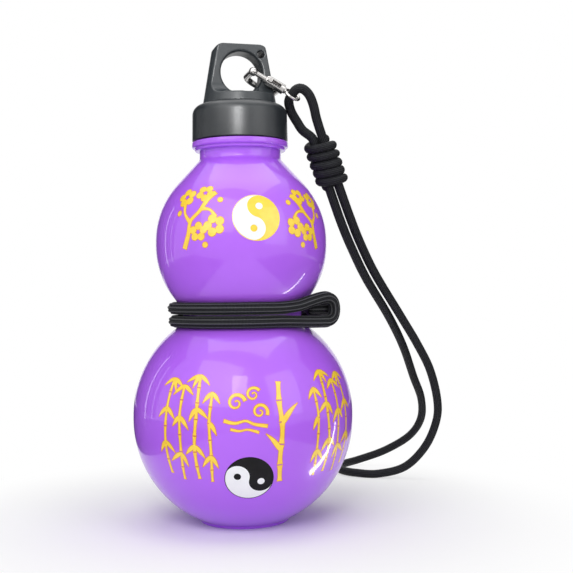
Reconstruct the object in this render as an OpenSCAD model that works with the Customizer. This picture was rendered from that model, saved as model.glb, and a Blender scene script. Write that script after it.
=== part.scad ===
// Gourd water bottle with a screw cap, a carry handle, a snap hook and a knotted cord lanyard.
// Millimetres, +Z up along the bottle, origin at the centre of the foot.

/* [Bottle] */
// Radius of the lower bulb
bulb_r = 54.4; // [48:0.2:58]
// Depth of the lower bulb that the flat foot cuts away
foot_cut = 3.3; // [2:0.1:5]
// Straight belt between the two halves of the lower bulb
bulb_belt = 1.6; // [0.4:0.2:2.4]
// Radius of the upper bulb
upper_r = 42.5; // [39:0.5:45]
// Height of the upper bulb's centre above the lower one's
bulb_pitch = 85.6; // [83:0.2:89]
// Straight belt between the two halves of the upper bulb
upper_belt = 2; // [0.4:0.2:3]
// Radius of the hollow curve between the bulbs
waist_fillet = 8; // [6:0.5:10]
// Angle above the upper bulb's centre at which the straight shoulder starts
shoulder_angle = 43; // [38:1:48]
// Outer radius of the neck
neck_r = 20.3; // [19:0.1:21]
// Height of the plain neck under the rings
neck_h = 4.6; // [4:0.2:6]
// Radius that blends the shoulder into the neck
neck_fillet = 3; // [1:0.5:4]
// Wall thickness
wall = 2; // [1.4:0.1:2.6]
// Thickness of the floor at its middle
floor_t = 2.8; // [2.2:0.1:4]
// Radius of the flat foot
foot_r = 22; // [19:0.5:26]
// Depth of the recess under the foot
foot_recess = 1; // [0.5:0.1:1.4]

/* [Mouth and rings] */
// Radius of the mouth's bore
mouth_r = 17; // [15:0.1:17.8]
// Outer radius of the mouth's wall, at the root of its thread
finish_r = 19.6; // [18.8:0.1:19.7]
// Height of the mouth above the support ring
finish_h = 13.8; // [12:0.2:16]
// Radius of the support ring
ring_r = 24; // [23:0.1:25]
// Thickness of the support ring
ring_t = 3; // [2:0.1:4]
// Radius of the smaller ring under it
step_r = 22.6; // [21.5:0.1:22.8]
// Thickness of the smaller ring
step_t = 1.4; // [1:0.1:2]

/* [Cap] */
// Outer radius of the cap at its rim
cap_r = 23.8; // [23.5:0.1:25]
// How much narrower the skirt is at its shoulder
cap_draft = 0.2; // [0:0.1:0.6]
// Gap between the cap's rim and the support ring
rim_gap = 0.4; // [0.3:0.1:1]
// Radius of the cap's rounded shoulder
cap_round = 5; // [3:0.5:5.5]
// Wall of the cap's skirt
skirt_t = 1.9; // [1.5:0.1:2]
// Thickness of the cap's top
top_t = 1.9; // [1.6:0.1:3]
// Wall of the threaded liner inside the skirt
liner_t = 1; // [0.8:0.1:1.1]
// Thickness of the liner's top
liner_top = 1.5; // [1.2:0.1:2]
// Thickness of the silicone seal
seal_t = 1.2; // [0.8:0.1:1.6]
// Clearance between pieces that are pressed or slid together
fit = 0.05; // [0.03:0.01:0.1]

/* [Handle] */
// Turn of the handle about the bottle's axis
handle_turn = 15; // [0:1:30]
// Height of the handle above the cap
handle_h = 29.8; // [28:0.1:33]
// Radius of the handle's round foot
handle_foot_r = 18.4; // [18:0.1:18.7]
// Half angle of the handle's taper
handle_taper = 9.8; // [8:0.2:11]
// Height of the round boss under the plate
boss_h = 4.5; // [4:0.1:5]
// Thickness of the handle's upright plate
plate_t = 12.4; // [11:0.2:12.6]
// Radius of the plate's top corners
corner_r = 5; // [3:0.5:6]
// Radius of the hollow between the plate and its foot
scoop_r = 7; // [6:0.5:8]
// Radius of the finger hole
finger_r = 10.4; // [9:0.1:10.6]
// Height of the finger hole's centre above the cap
finger_z = 15.6; // [15:0.1:17]
// Flare of the finger hole at both faces
finger_flare = 0.9; // [0.4:0.1:1.2]
// Radius of the small eyelet in the handle's corner
eyelet_r = 1.9; // [1.5:0.1:2]
// Distance of the eyelet from the handle's middle
eyelet_x = 9.7; // [9.6:0.1:10.2]
// Height of the eyelet above the cap
eyelet_z = 24.9; // [24.8:0.1:25.6]
// Radius of the spigot that locks the handle into the cap
spigot_r = 12; // [8:0.5:14]

/* [Hook] */
// Slope of the hook below level
hook_slope = 28.5; // [20:0.5:35]
// Radius of the hook's bent arm
arm_r = 1.6; // [1.3:0.1:1.7]
// Radius of the arm's two bends
bend_r = 4.5; // [3.5:0.5:5]
// Distance from the nose to the arm's outer run
hook_l = 18; // [17.6:0.1:18.4]
// Radius of the barrel
barrel_r = 2.6; // [2.3:0.1:2.7]
// Length of the barrel
barrel_l = 10.2; // [10:0.1:11]
// Radius of the sliding bolt
bolt_r = 1.3; // [1.1:0.05:1.4]
// Travel of the bolt
bolt_travel = 5.2; // [4.6:0.1:5.4]
// Radius of the thumb stud on the bolt
stud_r = 0.95; // [0.7:0.05:1.05]
// Wire radius of the swivel eye
eye_wire_r = 0.8; // [0.65:0.05:0.9]
// Radius of the swivel eye, to the middle of its wire
eye_r = 3.9; // [3.7:0.1:4.4]
// Turn of the swivel eye about the hook
eye_turn = 36; // [20:1:50]

/* [Cords] */
// Diameter of the lanyard's cord
cord_d = 4.8; // [4:0.1:5]
// Diameter of the cord round the waist
waist_cord_d = 6; // [5:0.1:6.2]
// Diameter of the cord where it is pulled tight in the knot
wrap_d = 3.8; // [3.4:0.1:3.9]
// Turns of cord in the knot
wrap_turns = 5.5; // [4:0.5:5.5]

/* [Hidden] */
$fa = 4;
$fs = 0.6;

// Upper and lower centres of the two bulbs, whose halves stand a belt apart.
bulb_low = bulb_r - foot_cut;
bulb_z = bulb_low + bulb_belt / 2;
bulb_high = bulb_z + bulb_belt / 2;
upper_z = bulb_z + bulb_pitch;
upper_low = upper_z - upper_belt / 2;
upper_high = upper_z + upper_belt / 2;

function polar(r, a) = [r * cos(a), r * sin(a)];
function arc(centre, r, from, to, steps) =
    [for (i = [0:steps]) centre + polar(r, from + (to - from) * i / steps)];

// Centre of the waist's hollow arc, which touches both bulbs.
function waist_centre(inset) =
    let (a = bulb_r + waist_fillet, b = upper_r + waist_fillet, d = upper_low - bulb_high,
         rise = (a * a - b * b + d * d) / (2 * d))
    [sqrt(a * a - rise * rise), bulb_high + rise];

waist_c = waist_centre(0);
waist_low_angle = atan2(waist_c[1] - bulb_high, waist_c[0]);
waist_high_angle = atan2(upper_low - waist_c[1], waist_c[0]);
waist_z = waist_c[1];

// Height at which the sloping shoulder meets a given radius, on a wall inset by a thickness.
function shoulder_z(r, inset) =
    upper_high + (upper_r - inset) * sin(shoulder_angle)
    + ((upper_r - inset) * cos(shoulder_angle) - r) / tan(shoulder_angle);

neck_z = shoulder_z(neck_r, 0);
step_z = neck_z + neck_h;
ring_z = step_z + step_t;
finish_z = ring_z + ring_t;
lip_z = finish_z + finish_h;
foot_wall = bulb_low - sqrt(bulb_r * bulb_r - foot_r * foot_r);

// Bulbs, waist and shoulder from the foot up, on a wall inset by a thickness.
function gourd_curve(inset, start_angle, fineness) = concat(
    arc([0, bulb_low], bulb_r - inset, start_angle, 0, 5 * fineness),
    arc([0, bulb_high], bulb_r - inset, 0, waist_low_angle, 4 * fineness),
    arc(waist_c, waist_fillet + inset, 180 + waist_low_angle, 180 - waist_high_angle, 2 * fineness),
    arc([0, upper_low], upper_r - inset, -waist_high_angle, 0, 3 * fineness),
    arc([0, upper_high], upper_r - inset, 0, shoulder_angle, 3 * fineness));

neck_touch = neck_fillet * tan((90 - shoulder_angle) / 2);
neck_curve = arc([neck_r + neck_fillet, neck_z + neck_touch], neck_fillet,
                 270 - shoulder_angle, 180, 4);

// Width of the foot's flat ring, and the small bevels of the foot, the rings and the lip.
foot_land = 7;
edge = 0.6;
ring_edge = 0.9;
lip_edge = 0.4;

module bottle_outline() {
    floor_angle = -asin((bulb_low - floor_t) / (bulb_r - wall));
    outer = concat(
        [[0, foot_recess], [foot_r - foot_land - foot_recess, foot_recess], [foot_r - foot_land, 0],
         [foot_r - edge, 0], [foot_r, edge], [foot_r, foot_wall]],
        gourd_curve(0, -acos(foot_r / bulb_r), 4),
        neck_curve,
        [[neck_r, step_z], [step_r - edge, step_z], [step_r, step_z + edge], [step_r, ring_z],
         [ring_r - ring_edge, ring_z], [ring_r, ring_z + ring_edge], [ring_r, finish_z - lip_edge],
         [ring_r - lip_edge, finish_z], [finish_r, finish_z], [finish_r, lip_z - lip_edge],
         [finish_r - lip_edge, lip_z]]);
    bore = concat(
        [[mouth_r + lip_edge, lip_z], [mouth_r, lip_z - lip_edge], [mouth_r, shoulder_z(mouth_r, wall)]],
        reversed(gourd_curve(wall, floor_angle, 2)),
        [[0, floor_t]]);
    polygon(concat(outer, bore));
}

function reversed(list) = [for (i = [len(list) - 1:-1:0]) list[i]];

// The wall is three shells that meet face to face at the waist and halfway up the neck.
neck_seam_z = step_z - neck_h / 2;

module bottle_slice(from, to) {
    color("mediumorchid")
    intersection() {
        rotate_extrude($fn = 120) bottle_outline();
        translate([0, 0, from]) cylinder(h = to - from, r = bulb_r + wall, $fn = 120);
    }
}

module lower_bulb() { bottle_slice(-wall, waist_z); }
module upper_bulb() { bottle_slice(waist_z, neck_seam_z); }
module threaded_mouth() { bottle_slice(neck_seam_z, lip_z + wall); }

// Cap, from its rim to the handle's foot.
rim_z = finish_z + rim_gap;
seal_z = lip_z + fit;
liner_z = seal_z + seal_t + fit;
bore_r = cap_r - skirt_t;
liner_r = bore_r - fit;
thread_r = liner_r - liner_t;
inner_top = liner_z + liner_top + fit;
cap_top = inner_top + top_t;

module cap_shell() {
    side = cap_r - cap_draft;
    rim_bevel = 0.5;
    color("dimgray")
    rotate_extrude($fn = 120)
    polygon(concat(
        [[spigot_r + fit, cap_top], [spigot_r + fit, inner_top], [bore_r, inner_top],
         [bore_r, rim_z + rim_bevel], [bore_r + rim_bevel, rim_z], [cap_r - rim_bevel, rim_z],
         [cap_r, rim_z + rim_bevel]],
        arc([side - cap_round, cap_top - cap_round], cap_round, 0, 90, 10)));
}

module cap_liner() {
    color("gainsboro")
    difference() {
        translate([0, 0, rim_z + 1.6]) cylinder(h = liner_z + liner_top - rim_z - 1.6, r = liner_r, $fn = 120);
        translate([0, 0, rim_z]) cylinder(h = liner_z - rim_z, r = thread_r, $fn = 120);
    }
}

module seal_ring() {
    color("white")
    translate([0, 0, seal_z])
    difference() {
        cylinder(h = seal_t, r = thread_r - 0.3, $fn = 120);
        translate([0, 0, -1]) cylinder(h = seal_t + 2, r = mouth_r - 0.6, $fn = 120);
    }
}

// Handle: a tapering round boss with an upright plate, in its own frame above the cap.
handle_top_r = handle_foot_r - handle_h * tan(handle_taper);
scoop_z = boss_h + scoop_r;

// Half length of the tools that cut right through the handle, and the steps of the hole's rim.
reach = handle_foot_r + 12;
rim_in = 0.6;
rim_deep = 1.4;

module handle_outline() {
    tip = handle_top_r + corner_r * tan(handle_taper);
    centre = [tip - corner_r / cos(handle_taper), handle_h - corner_r];
    right = concat([[handle_foot_r + 1, 0], [handle_foot_r, 0]],
                   arc(centre, corner_r, handle_taper, 90, 6));
    polygon(concat(right, [for (p = reversed(right)) [-p[0], p[1]]]));
}

module finger_hole() {
    half = plate_t / 2;
    rotate([90, 0, 0])
    rotate_extrude($fn = 120)
    polygon([[0, -reach], [finger_r + finger_flare, -reach], [finger_r + finger_flare, -half],
             [finger_r + finger_flare / 3, -half + rim_in], [finger_r, -half + rim_deep],
             [finger_r, half - rim_deep], [finger_r + finger_flare / 3, half - rim_in],
             [finger_r + finger_flare, half], [finger_r + finger_flare, reach], [0, reach]]);
}

module plate_cut(side) {
    hollow_y = side * (plate_t / 2 + scoop_r);
    translate([-reach, hollow_y, scoop_z]) rotate([0, 90, 0]) cylinder(h = 2 * reach, r = scoop_r, $fn = 96);
    translate([-reach, side > 0 ? plate_t / 2 : -reach, scoop_z])
    cube([2 * reach, reach - plate_t / 2, handle_h]);
    translate([-reach, side > 0 ? hollow_y : -reach, boss_h])
    cube([2 * reach, reach - abs(hollow_y), handle_h]);
}

module cap_handle() {
    color("slategray")
    translate([0, 0, cap_top]) rotate([0, 0, handle_turn]) {
        difference() {
            intersection() {
                cylinder(h = handle_h, r1 = handle_foot_r, r2 = handle_top_r, $fn = 120);
                translate([0, reach, 0]) rotate([90, 0, 0]) linear_extrude(2 * reach) handle_outline();
            }
            plate_cut(1);
            plate_cut(-1);
            translate([0, 0, finger_z]) finger_hole();
            translate([eyelet_x, reach, eyelet_z]) rotate([90, 0, 0])
            cylinder(h = 2 * reach, r = eyelet_r, $fn = 48);
        }
        translate([0, 0, inner_top - cap_top - fit])
        cylinder(h = cap_top - inner_top + fit + 0.5, r = spigot_r, $fn = 90);
    }
}

// Hook frame: x runs from the nose to the eye, y goes back through the finger hole.
hook_y = -(plate_t / 2 + barrel_r + 0.4);
hook_x = 3.1;
hook_z = 16.5;
arm_back = plate_t / 2 - hook_y + 0.7 + arm_r;
nose_r = 2.2;
nose_cone = 1.6;
barrel_x = 9.4;
seat_x = 2 * nose_r - 0.4;
bolt_tip = seat_x + 0.1;
bolt_end = barrel_x + 3;
stud_x = barrel_x + 1.8;
barrel_end = barrel_x + barrel_l;
bore_end = barrel_end - 1;
stem_r = 0.8;
rivet_t = 0.5;
collar_r = 1.7;
slot_gap = 0.1;
pocket_from = 2.5;
pocket_r = bolt_r - 0.4;
head_gap = 0.4;
head_t = 0.8;
head_lip = 0.5;
eye_x = barrel_end + 0.3 + eye_wire_r + eye_r;

module in_hook_frame() {
    translate([0, 0, cap_top]) rotate([0, 0, handle_turn])
    translate([hook_x, hook_y, hook_z]) rotate([0, hook_slope, 0]) children();
}

module along_x(from, to, r) {
    translate([from, 0, 0]) rotate([0, 90, 0]) cylinder(h = to - from, r = r, $fn = 48);
}

module bend(x, y, from) {
    translate([x, y, 0]) rotate([0, 0, from])
    rotate_extrude(angle = 90, $fn = 64) translate([bend_r, 0]) circle(r = arm_r, $fn = 32);
}

module hook_arm() {
    outer_x = hook_l;
    nose_x = arm_r + 0.3;
    translate([outer_x, 0, 0]) rotate([-90, 0, 0]) cylinder(h = arm_back - bend_r, r = arm_r, $fn = 32);
    bend(outer_x - bend_r, arm_back - bend_r, 0);
    translate([0, arm_back, 0]) along_x(nose_x + bend_r, outer_x - bend_r, arm_r);
    bend(nose_x + bend_r, arm_back - bend_r, 90);
    translate([nose_x, 0, 0]) rotate([-90, 0, 0]) cylinder(h = arm_back - bend_r, r = arm_r, $fn = 32);
    nose_ball();
}

// Ball at the arm's tip, with the flat on which the bolt's end shuts.
module nose_ball() {
    rotate([0, 90, 0])
    rotate_extrude($fn = 48)
    polygon(concat([[0, seat_x]], arc([0, nose_r], nose_r, asin(seat_x / nose_r - 1), -90, 14)));
}

module hook_body() {
    color("silver")
    in_hook_frame()
    difference() {
        union() {
            hook_arm();
            translate([barrel_x, 0, 0]) rotate([0, 90, 0])
            cylinder(h = nose_cone, r1 = bolt_r + 0.6, r2 = barrel_r, $fn = 48);
            along_x(barrel_x + nose_cone, barrel_end, barrel_r);
        }
        along_x(barrel_x - 1, bore_end, bolt_r + fit);
        along_x(bore_end - 1, barrel_end + 1, stem_r + fit);
        translate([stud_x - stud_r - slot_gap, -barrel_r - 1, -stud_r - slot_gap])
        cube([bolt_travel + 2 * (stud_r + slot_gap), barrel_r + 1, 2 * (stud_r + slot_gap)]);
    }
}

module hook_bolt() {
    color("lightgray")
    in_hook_frame() {
        difference() {
            along_x(bolt_tip, bolt_end, bolt_r);
            along_x(bolt_tip + pocket_from, bolt_end + 1, pocket_r);
        }
        translate([stud_x, 0, 0]) rotate([90, 0, 0]) {
            translate([0, 0, pocket_r + 0.1]) cylinder(h = barrel_r + head_gap - pocket_r, r = stud_r, $fn = 32);
            translate([0, 0, barrel_r + head_gap])
            cylinder(h = head_t, r1 = stud_r + head_lip, r2 = stud_r + head_lip / 2, $fn = 32);
        }
    }
}

module swivel_eye() {
    color("silver")
    in_hook_frame() {
        along_x(bore_end - rivet_t - 0.1, bore_end - 0.1, stem_r + 0.4);
        along_x(bore_end - 0.2, barrel_end + 0.4, stem_r);
        along_x(barrel_end + 0.1, barrel_end + 1.1, collar_r);
        translate([eye_x, 0, 0]) rotate([eye_turn, 0, 0])
        rotate_extrude($fn = 72) translate([eye_r, 0]) circle(r = eye_wire_r, $fn = 24);
    }
}

// A tube swept along points: one ring of corners at each point, turned as little as possible.
function unit(v) = v / norm(v);
function path_tangent(p, i) = unit(p[min(i + 1, len(p) - 1)] - p[max(i - 1, 0)]);
function across(v, t) = unit(v - (v * t) * t);
function path_sides(p, first) =
    [for (i = 0, v = across(first, path_tangent(p, 0)); i < len(p);
          i = i + 1, v = across(v, path_tangent(p, min(i, len(p) - 1)))) v];
function spline_point(a, b, c, d, t) =
    0.5 * (2 * b + (c - a) * t + (2 * a - 5 * b + 4 * c - d) * t * t
           + (3 * b - a - 3 * c + d) * t * t * t);
function smooth_path(p, steps) = concat(
    [for (i = [0:len(p) - 2], k = [0:steps - 1])
        spline_point(p[max(i - 1, 0)], p[i], p[i + 1], p[min(i + 2, len(p) - 1)], k / steps)],
    [p[len(p) - 1]]);

module tube(p, r, sides, first) {
    n = len(p);
    v = path_sides(p, first);
    corners = [for (i = [0:n - 1], t = [path_tangent(p, i)], w = [cross(t, v[i])], k = [0:sides - 1])
        p[i] + r * (cos(360 * k / sides) * v[i] + sin(360 * k / sides) * w)];
    walls = [for (i = [0:n - 2], k = [0:sides - 1])
        let (a = i * sides + k, b = i * sides + (k + 1) % sides) each [[a, a + sides, b], [b, a + sides, b + sides]]];
    start = [for (k = [1:sides - 2]) [0, k, k + 1]];
    end = [for (k = [1:sides - 2]) [(n - 1) * sides, (n - 1) * sides + k + 1, (n - 1) * sides + k]];
    polyhedron(corners, concat(walls, start, end));
}

// Least gap between stretches of one tube that are over two and a half diameters apart along it.
function run_lengths(p) = [for (i = 0, l = 0; i < len(p);
    i = i + 1, l = l + (i < len(p) ? norm(p[i] - p[i - 1]) : 0)) l];
function least_gap(p, d) =
    let (run = run_lengths(p))
    min([for (i = [0:len(p) - 2], j = [i + 1:len(p) - 1]) if (run[j] - run[i] > 2.5 * d) norm(p[i] - p[j])]) - d;

// Knot: its axis runs from the small loop down to the long strands.
knot_top = [38.6, 5, 191.6];
knot_foot = [47.8, 12, 165];
knot_axis = unit(knot_foot - knot_top);
knot_side = across([1, 0, 0], knot_axis);
knot_back = cross(knot_axis, knot_side);
strand_gap = cord_d / 2 + 0.1;
knot_half_w = 6.5;
knot_half_t = 4.4;

// Small loop, from inside the knot up through the swivel eye and back.
loop_route = concat(
    [knot_top + 5 * knot_axis - strand_gap * knot_side, knot_top - strand_gap * knot_side],
    [[31.4, 4.8, 194.8], [28.4, 4.4, 199.4], [26, 3.4, 203.4], [24.8, 1.4, 206.8],
     [24.7, -1.1, 209.2], [26.3, -2.5, 211.4], [27.9, -3.9, 213.4], [30.2, -4.4, 214.2],
     [32.8, -3.8, 213.2], [35.2, -2.6, 210.4], [37, -1, 205.8], [38.4, 1.4, 200]],
    [knot_top + strand_gap * knot_side, knot_top + 5 * knot_axis + strand_gap * knot_side]);

// Long loop, from inside the knot down to the floor, round and back up.
strand_route = concat(
    [knot_foot - 5 * knot_axis + strand_gap * knot_side, knot_foot + strand_gap * knot_side],
    [[56, 22, 151.4], [62, 32, 138.2], [71, 45.6, 121.8], [86.6, 62, 98], [96.4, 70, 82.4],
     [104.7, 78, 66.7], [109.7, 85, 48.4], [109.7, 91, 35], [103.7, 96, 19.5], [92, 100, 7],
     [76, 102, 2.6], [63, 106, 2.6], [55, 115, 2.6], [54, 127, 2.6], [58, 138, 2.6],
     [68, 145, 4], [84.3, 143, 10], [99, 136, 20], [105.4, 127, 32], [104.4, 116, 46],
     [98, 102, 61], [90, 83, 80], [80, 64, 98], [66, 45.6, 119.6], [57.4, 32, 135.6],
     [51.4, 22, 148.6]],
    [knot_foot - strand_gap * knot_side, knot_foot - 5 * knot_axis - strand_gap * knot_side]);

function wrap_point(a) =
    let (along = wrap_d * 0.5 + (norm(knot_foot - knot_top) - wrap_d) * a / (360 * wrap_turns))
    knot_top + along * knot_axis + knot_half_w * cos(a) * knot_side + knot_half_t * sin(a) * knot_back;
wrap_body = [for (i = [0:24 * wrap_turns]) wrap_point(15 * i)];
wrap_start = wrap_body[0] - unit(wrap_body[1] - wrap_body[0]) * wrap_d;
wrap_last = wrap_body[len(wrap_body) - 1];
wrap_end = wrap_last + unit(wrap_last - wrap_body[len(wrap_body) - 2]) * wrap_d;
wrap_route = concat([wrap_start], wrap_body, [wrap_end]);

module lanyard_loop() {
    color("#141416") tube(smooth_path(loop_route, 2), cord_d / 2, 10, knot_back);
}

module lanyard_knot() {
    echo(knot_least_gap = least_gap(wrap_body, wrap_d));
    color("#141416") tube(wrap_route, wrap_d / 2, 6, knot_axis);
}

module lanyard_strands() {
    color("#141416") tube(smooth_path(strand_route, 2), cord_d / 2, 8, knot_back);
}

// Waist cord: two bands that lie in the waist, with a bight standing out at the right.
waist_r = waist_cord_d / 2;
seat_gap = 0.3;
band_pitch = waist_cord_d + 0.45;
low_band_z = waist_z - 3.1;
high_band_z = low_band_z + band_pitch;
low_band_r = sqrt(pow(bulb_r + waist_r + seat_gap, 2) - pow(low_band_z - bulb_high, 2));
high_band_r = sqrt(pow(upper_r + waist_r + seat_gap, 2) - pow(upper_low - high_band_z, 2));
function on_waist(r, a, z) = [r * cos(a), r * sin(a), z];
band_r = max(low_band_r, high_band_r);
waist_route = concat(
    [for (a = [10:14:304]) on_waist(high_band_r, a, high_band_z)],
    [on_waist(band_r + 1.2, 320, high_band_z + 0.8), on_waist(band_r + 4.2, 331, high_band_z + 2.8),
     on_waist(band_r + 7.4, 339.5, high_band_z + 4.3), on_waist(band_r + 9.6, 344.8, high_band_z + 4.4),
     on_waist(band_r + 11.6, 348.2, high_band_z + 2.6), on_waist(band_r + 12.3, 349.2, high_band_z - 1.2),
     on_waist(band_r + 11.6, 348.2, low_band_z + 1.3), on_waist(band_r + 9.6, 344.8, low_band_z - 0.6),
     on_waist(band_r + 7.4, 339.5, low_band_z - 0.7), on_waist(band_r + 4, 331, low_band_z - 0.6),
     on_waist(band_r + 1, 320, low_band_z - 0.3)],
    [for (a = [304:-14:52]) on_waist(low_band_r, a, low_band_z)],
    [on_waist(low_band_r + 1.4, 42, low_band_z), on_waist(band_r + 5, 30, low_band_z + 1.6),
     on_waist(band_r + 8.4, 18, low_band_z + 3.6), on_waist(band_r + 9.8, 7, low_band_z + 4.9),
     on_waist(band_r + 8.2, 356.5, low_band_z + 5.2), on_waist(band_r + 4.2, 346, low_band_z + 5.2),
     on_waist(band_r + 1.4, 339, low_band_z + 5.2)]);

module waist_cord() {
    echo(waist_least_gap = least_gap(waist_route, waist_cord_d));
    color("#141416") tube(waist_route, waist_r, 8, [0, 0, 1]);
}

// Spring in the bolt's pocket, one unbroken wire.
spring_turns = 9;
spring_wire = 0.3;
spring_r = pocket_r - spring_wire / 2 - 0.08;
spring_from = bolt_tip + pocket_from + 0.1;
spring_to = bore_end - rivet_t - 0.25;
function spring_point(a) =
    [spring_from + spring_wire / 2 + (spring_to - spring_from - spring_wire) * a / (360 * spring_turns),
     spring_r * cos(a), spring_r * sin(a)];
spring_corners = 8;
spring_route = [for (i = [0:spring_corners * spring_turns]) spring_point(360 / spring_corners * i)];

module bolt_spring() {
    echo(spring_least_gap = least_gap(spring_route, spring_wire));
    color("silver") in_hook_frame() tube(spring_route, spring_wire / 2, 6, [1, 0, 0]);
}

lower_bulb();
upper_bulb();
threaded_mouth();
waist_cord();
seal_ring();
cap_shell();
cap_liner();
cap_handle();
hook_body();
hook_bolt();
bolt_spring();
swivel_eye();
lanyard_loop();
lanyard_knot();
lanyard_strands();
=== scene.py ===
"""Dressed model of a gourd-shaped water bottle with a screw cap, a snap hook and two cords.

Everything is in metres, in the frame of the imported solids: the origin is at the centre of the
foot and +Z points up along the bottle. The lanyard hangs on the +X side and the camera stands
on the -Y side.
"""

import logging
import math
from dataclasses import dataclass, field
from enum import Enum
from typing import Callable, Iterable, Optional, Sequence

import bmesh
import bpy
from mathutils import Matrix, Vector


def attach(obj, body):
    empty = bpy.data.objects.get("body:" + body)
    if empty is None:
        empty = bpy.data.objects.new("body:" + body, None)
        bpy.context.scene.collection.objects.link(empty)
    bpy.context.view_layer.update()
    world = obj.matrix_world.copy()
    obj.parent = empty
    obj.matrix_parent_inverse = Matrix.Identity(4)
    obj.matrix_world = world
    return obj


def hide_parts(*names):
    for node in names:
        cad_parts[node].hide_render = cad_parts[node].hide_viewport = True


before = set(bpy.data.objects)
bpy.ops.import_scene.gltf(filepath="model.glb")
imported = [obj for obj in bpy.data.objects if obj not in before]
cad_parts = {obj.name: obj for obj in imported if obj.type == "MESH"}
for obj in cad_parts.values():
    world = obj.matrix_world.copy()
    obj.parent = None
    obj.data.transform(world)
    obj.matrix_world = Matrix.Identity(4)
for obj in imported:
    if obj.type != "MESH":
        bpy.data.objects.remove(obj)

LOG = logging.getLogger("gourd_bottle")
MM = 0.001


class Slot(Enum):
    """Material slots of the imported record."""

    LACQUER = "bottle_plastic"
    CAP = "cap_plastic"
    HANDLE = "handle_plastic"
    LINER = "liner_plastic"
    SILICONE = "silicone"
    HOOK = "hook_metal"
    CORD = "cord"


class Body(Enum):
    """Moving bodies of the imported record."""

    BOTTLE = "bottle"
    SEAL = "seal"
    CAP = "cap"
    BOLT = "bolt"
    EYE = "eye"


def arc(centre: Sequence[float], radius: float, start: float, end: float, steps: int) -> list[Vector]:
    """Points along a circular arc in a profile plane.

    Args:
        centre: Radius and height of the arc's centre.
        radius: Radius of the arc.
        start: Angle of the first point in degrees, from the outward direction.
        end: Angle of the last point in degrees.
        steps: Number of equal steps.

    Returns:
        The points as (radius, height) vectors.
    """
    points = []
    for index in range(steps + 1):
        angle = math.radians(start + (end - start) * index / steps)
        points.append(Vector((centre[0] + radius * math.cos(angle), centre[1] + radius * math.sin(angle))))
    return points


def rounded(tip: Sequence[float], radius: float, start: float, steps: int, turn: float = 90) -> list[Vector]:
    """Points of the quarter circle that rounds a square corner of a profile.

    Args:
        tip: Radius and height of the corner.
        radius: Radius of the rounding.
        start: Angle of its first point in degrees, from the outward direction.
        steps: Number of equal steps.
        turn: 90 where the profile turns left, -90 where it turns right.

    Returns:
        The points as (radius, height) vectors.
    """
    end = start + turn
    out, up = (sum(wave(math.radians(angle)) for angle in (start, end)) for wave in (math.cos, math.sin))
    return arc((tip[0] - radius * out, tip[1] - radius * up), radius, start, end, steps)


def smooth_path(points: Sequence[Sequence[float]], steps: int) -> list[Vector]:
    """Runs a smooth curve through given points.

    Args:
        points: The points that the curve passes through.
        steps: Steps between two neighbouring points.

    Returns:
        The points of the curve.
    """
    knots = [Vector(point) for point in points]
    curve = []
    for index in range(len(knots) - 1):
        before = knots[max(index - 1, 0)]
        here, there = knots[index], knots[index + 1]
        after = knots[min(index + 2, len(knots) - 1)]
        for step in range(steps):
            t = step / steps
            curve.append(0.5 * (2 * here + (there - before) * t
                                + (2 * before - 5 * here + 4 * there - after) * t ** 2
                                + (3 * here - before - 3 * there + after) * t ** 3))
    curve.append(knots[-1])
    return curve


def path_length(points: Sequence[Vector]) -> float:
    """Length of a line of points."""
    return sum((b - a).length for a, b in zip(points, points[1:]))


def resample(points: Sequence[Vector], spacing: float) -> list[Vector]:
    """Spreads points evenly along a line.

    Args:
        points: The line's points.
        spacing: Distance wanted between neighbours.

    Returns:
        Evenly spread points from the first to the last.
    """
    count = max(2, round(path_length(points) / spacing))
    step = path_length(points) / count
    result, walked, target = [points[0]], 0.0, step
    for a, b in zip(points, points[1:]):
        length = (b - a).length
        while length > 0 and target <= walked + length + 1e-9 and len(result) < count:
            result.append(a.lerp(b, (target - walked) / length))
            target += step
        walked += length
    return result + [points[-1]]


class Tree:
    """A small helper that adds nodes to a node tree."""

    def __init__(self, tree: bpy.types.NodeTree) -> None:
        """Keeps the tree that the nodes go into."""
        self.tree = tree

    def add(self, kind: str, inputs: Optional[dict] = None, **settings) -> bpy.types.Node:
        """Adds a node.

        Args:
            kind: Blender's type name of the node.
            inputs: Values or output sockets for its inputs, by name or number.
            **settings: Properties of the node.

        Returns:
            The new node.
        """
        node = self.tree.nodes.new(kind)
        for key, value in settings.items():
            setattr(node, key, value)
        for key, value in (inputs or {}).items():
            self.feed(node.inputs[key], value)
        return node

    def node(self, name: str) -> bpy.types.Node:
        """Finds a node by its name."""
        return self.tree.nodes[name]

    def feed(self, socket: bpy.types.NodeSocket, value) -> None:
        """Links an output to a socket, or sets the socket's own value."""
        if isinstance(value, bpy.types.NodeSocket):
            self.tree.links.new(value, socket)
        else:
            socket.default_value = value

    def math(self, operation: str, a, b=0.0, c=0.0) -> bpy.types.NodeSocket:
        """Adds a Math node and returns its output."""
        return self.add("ShaderNodeMath", {0: a, 1: b, 2: c}, operation=operation).outputs[0]


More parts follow.
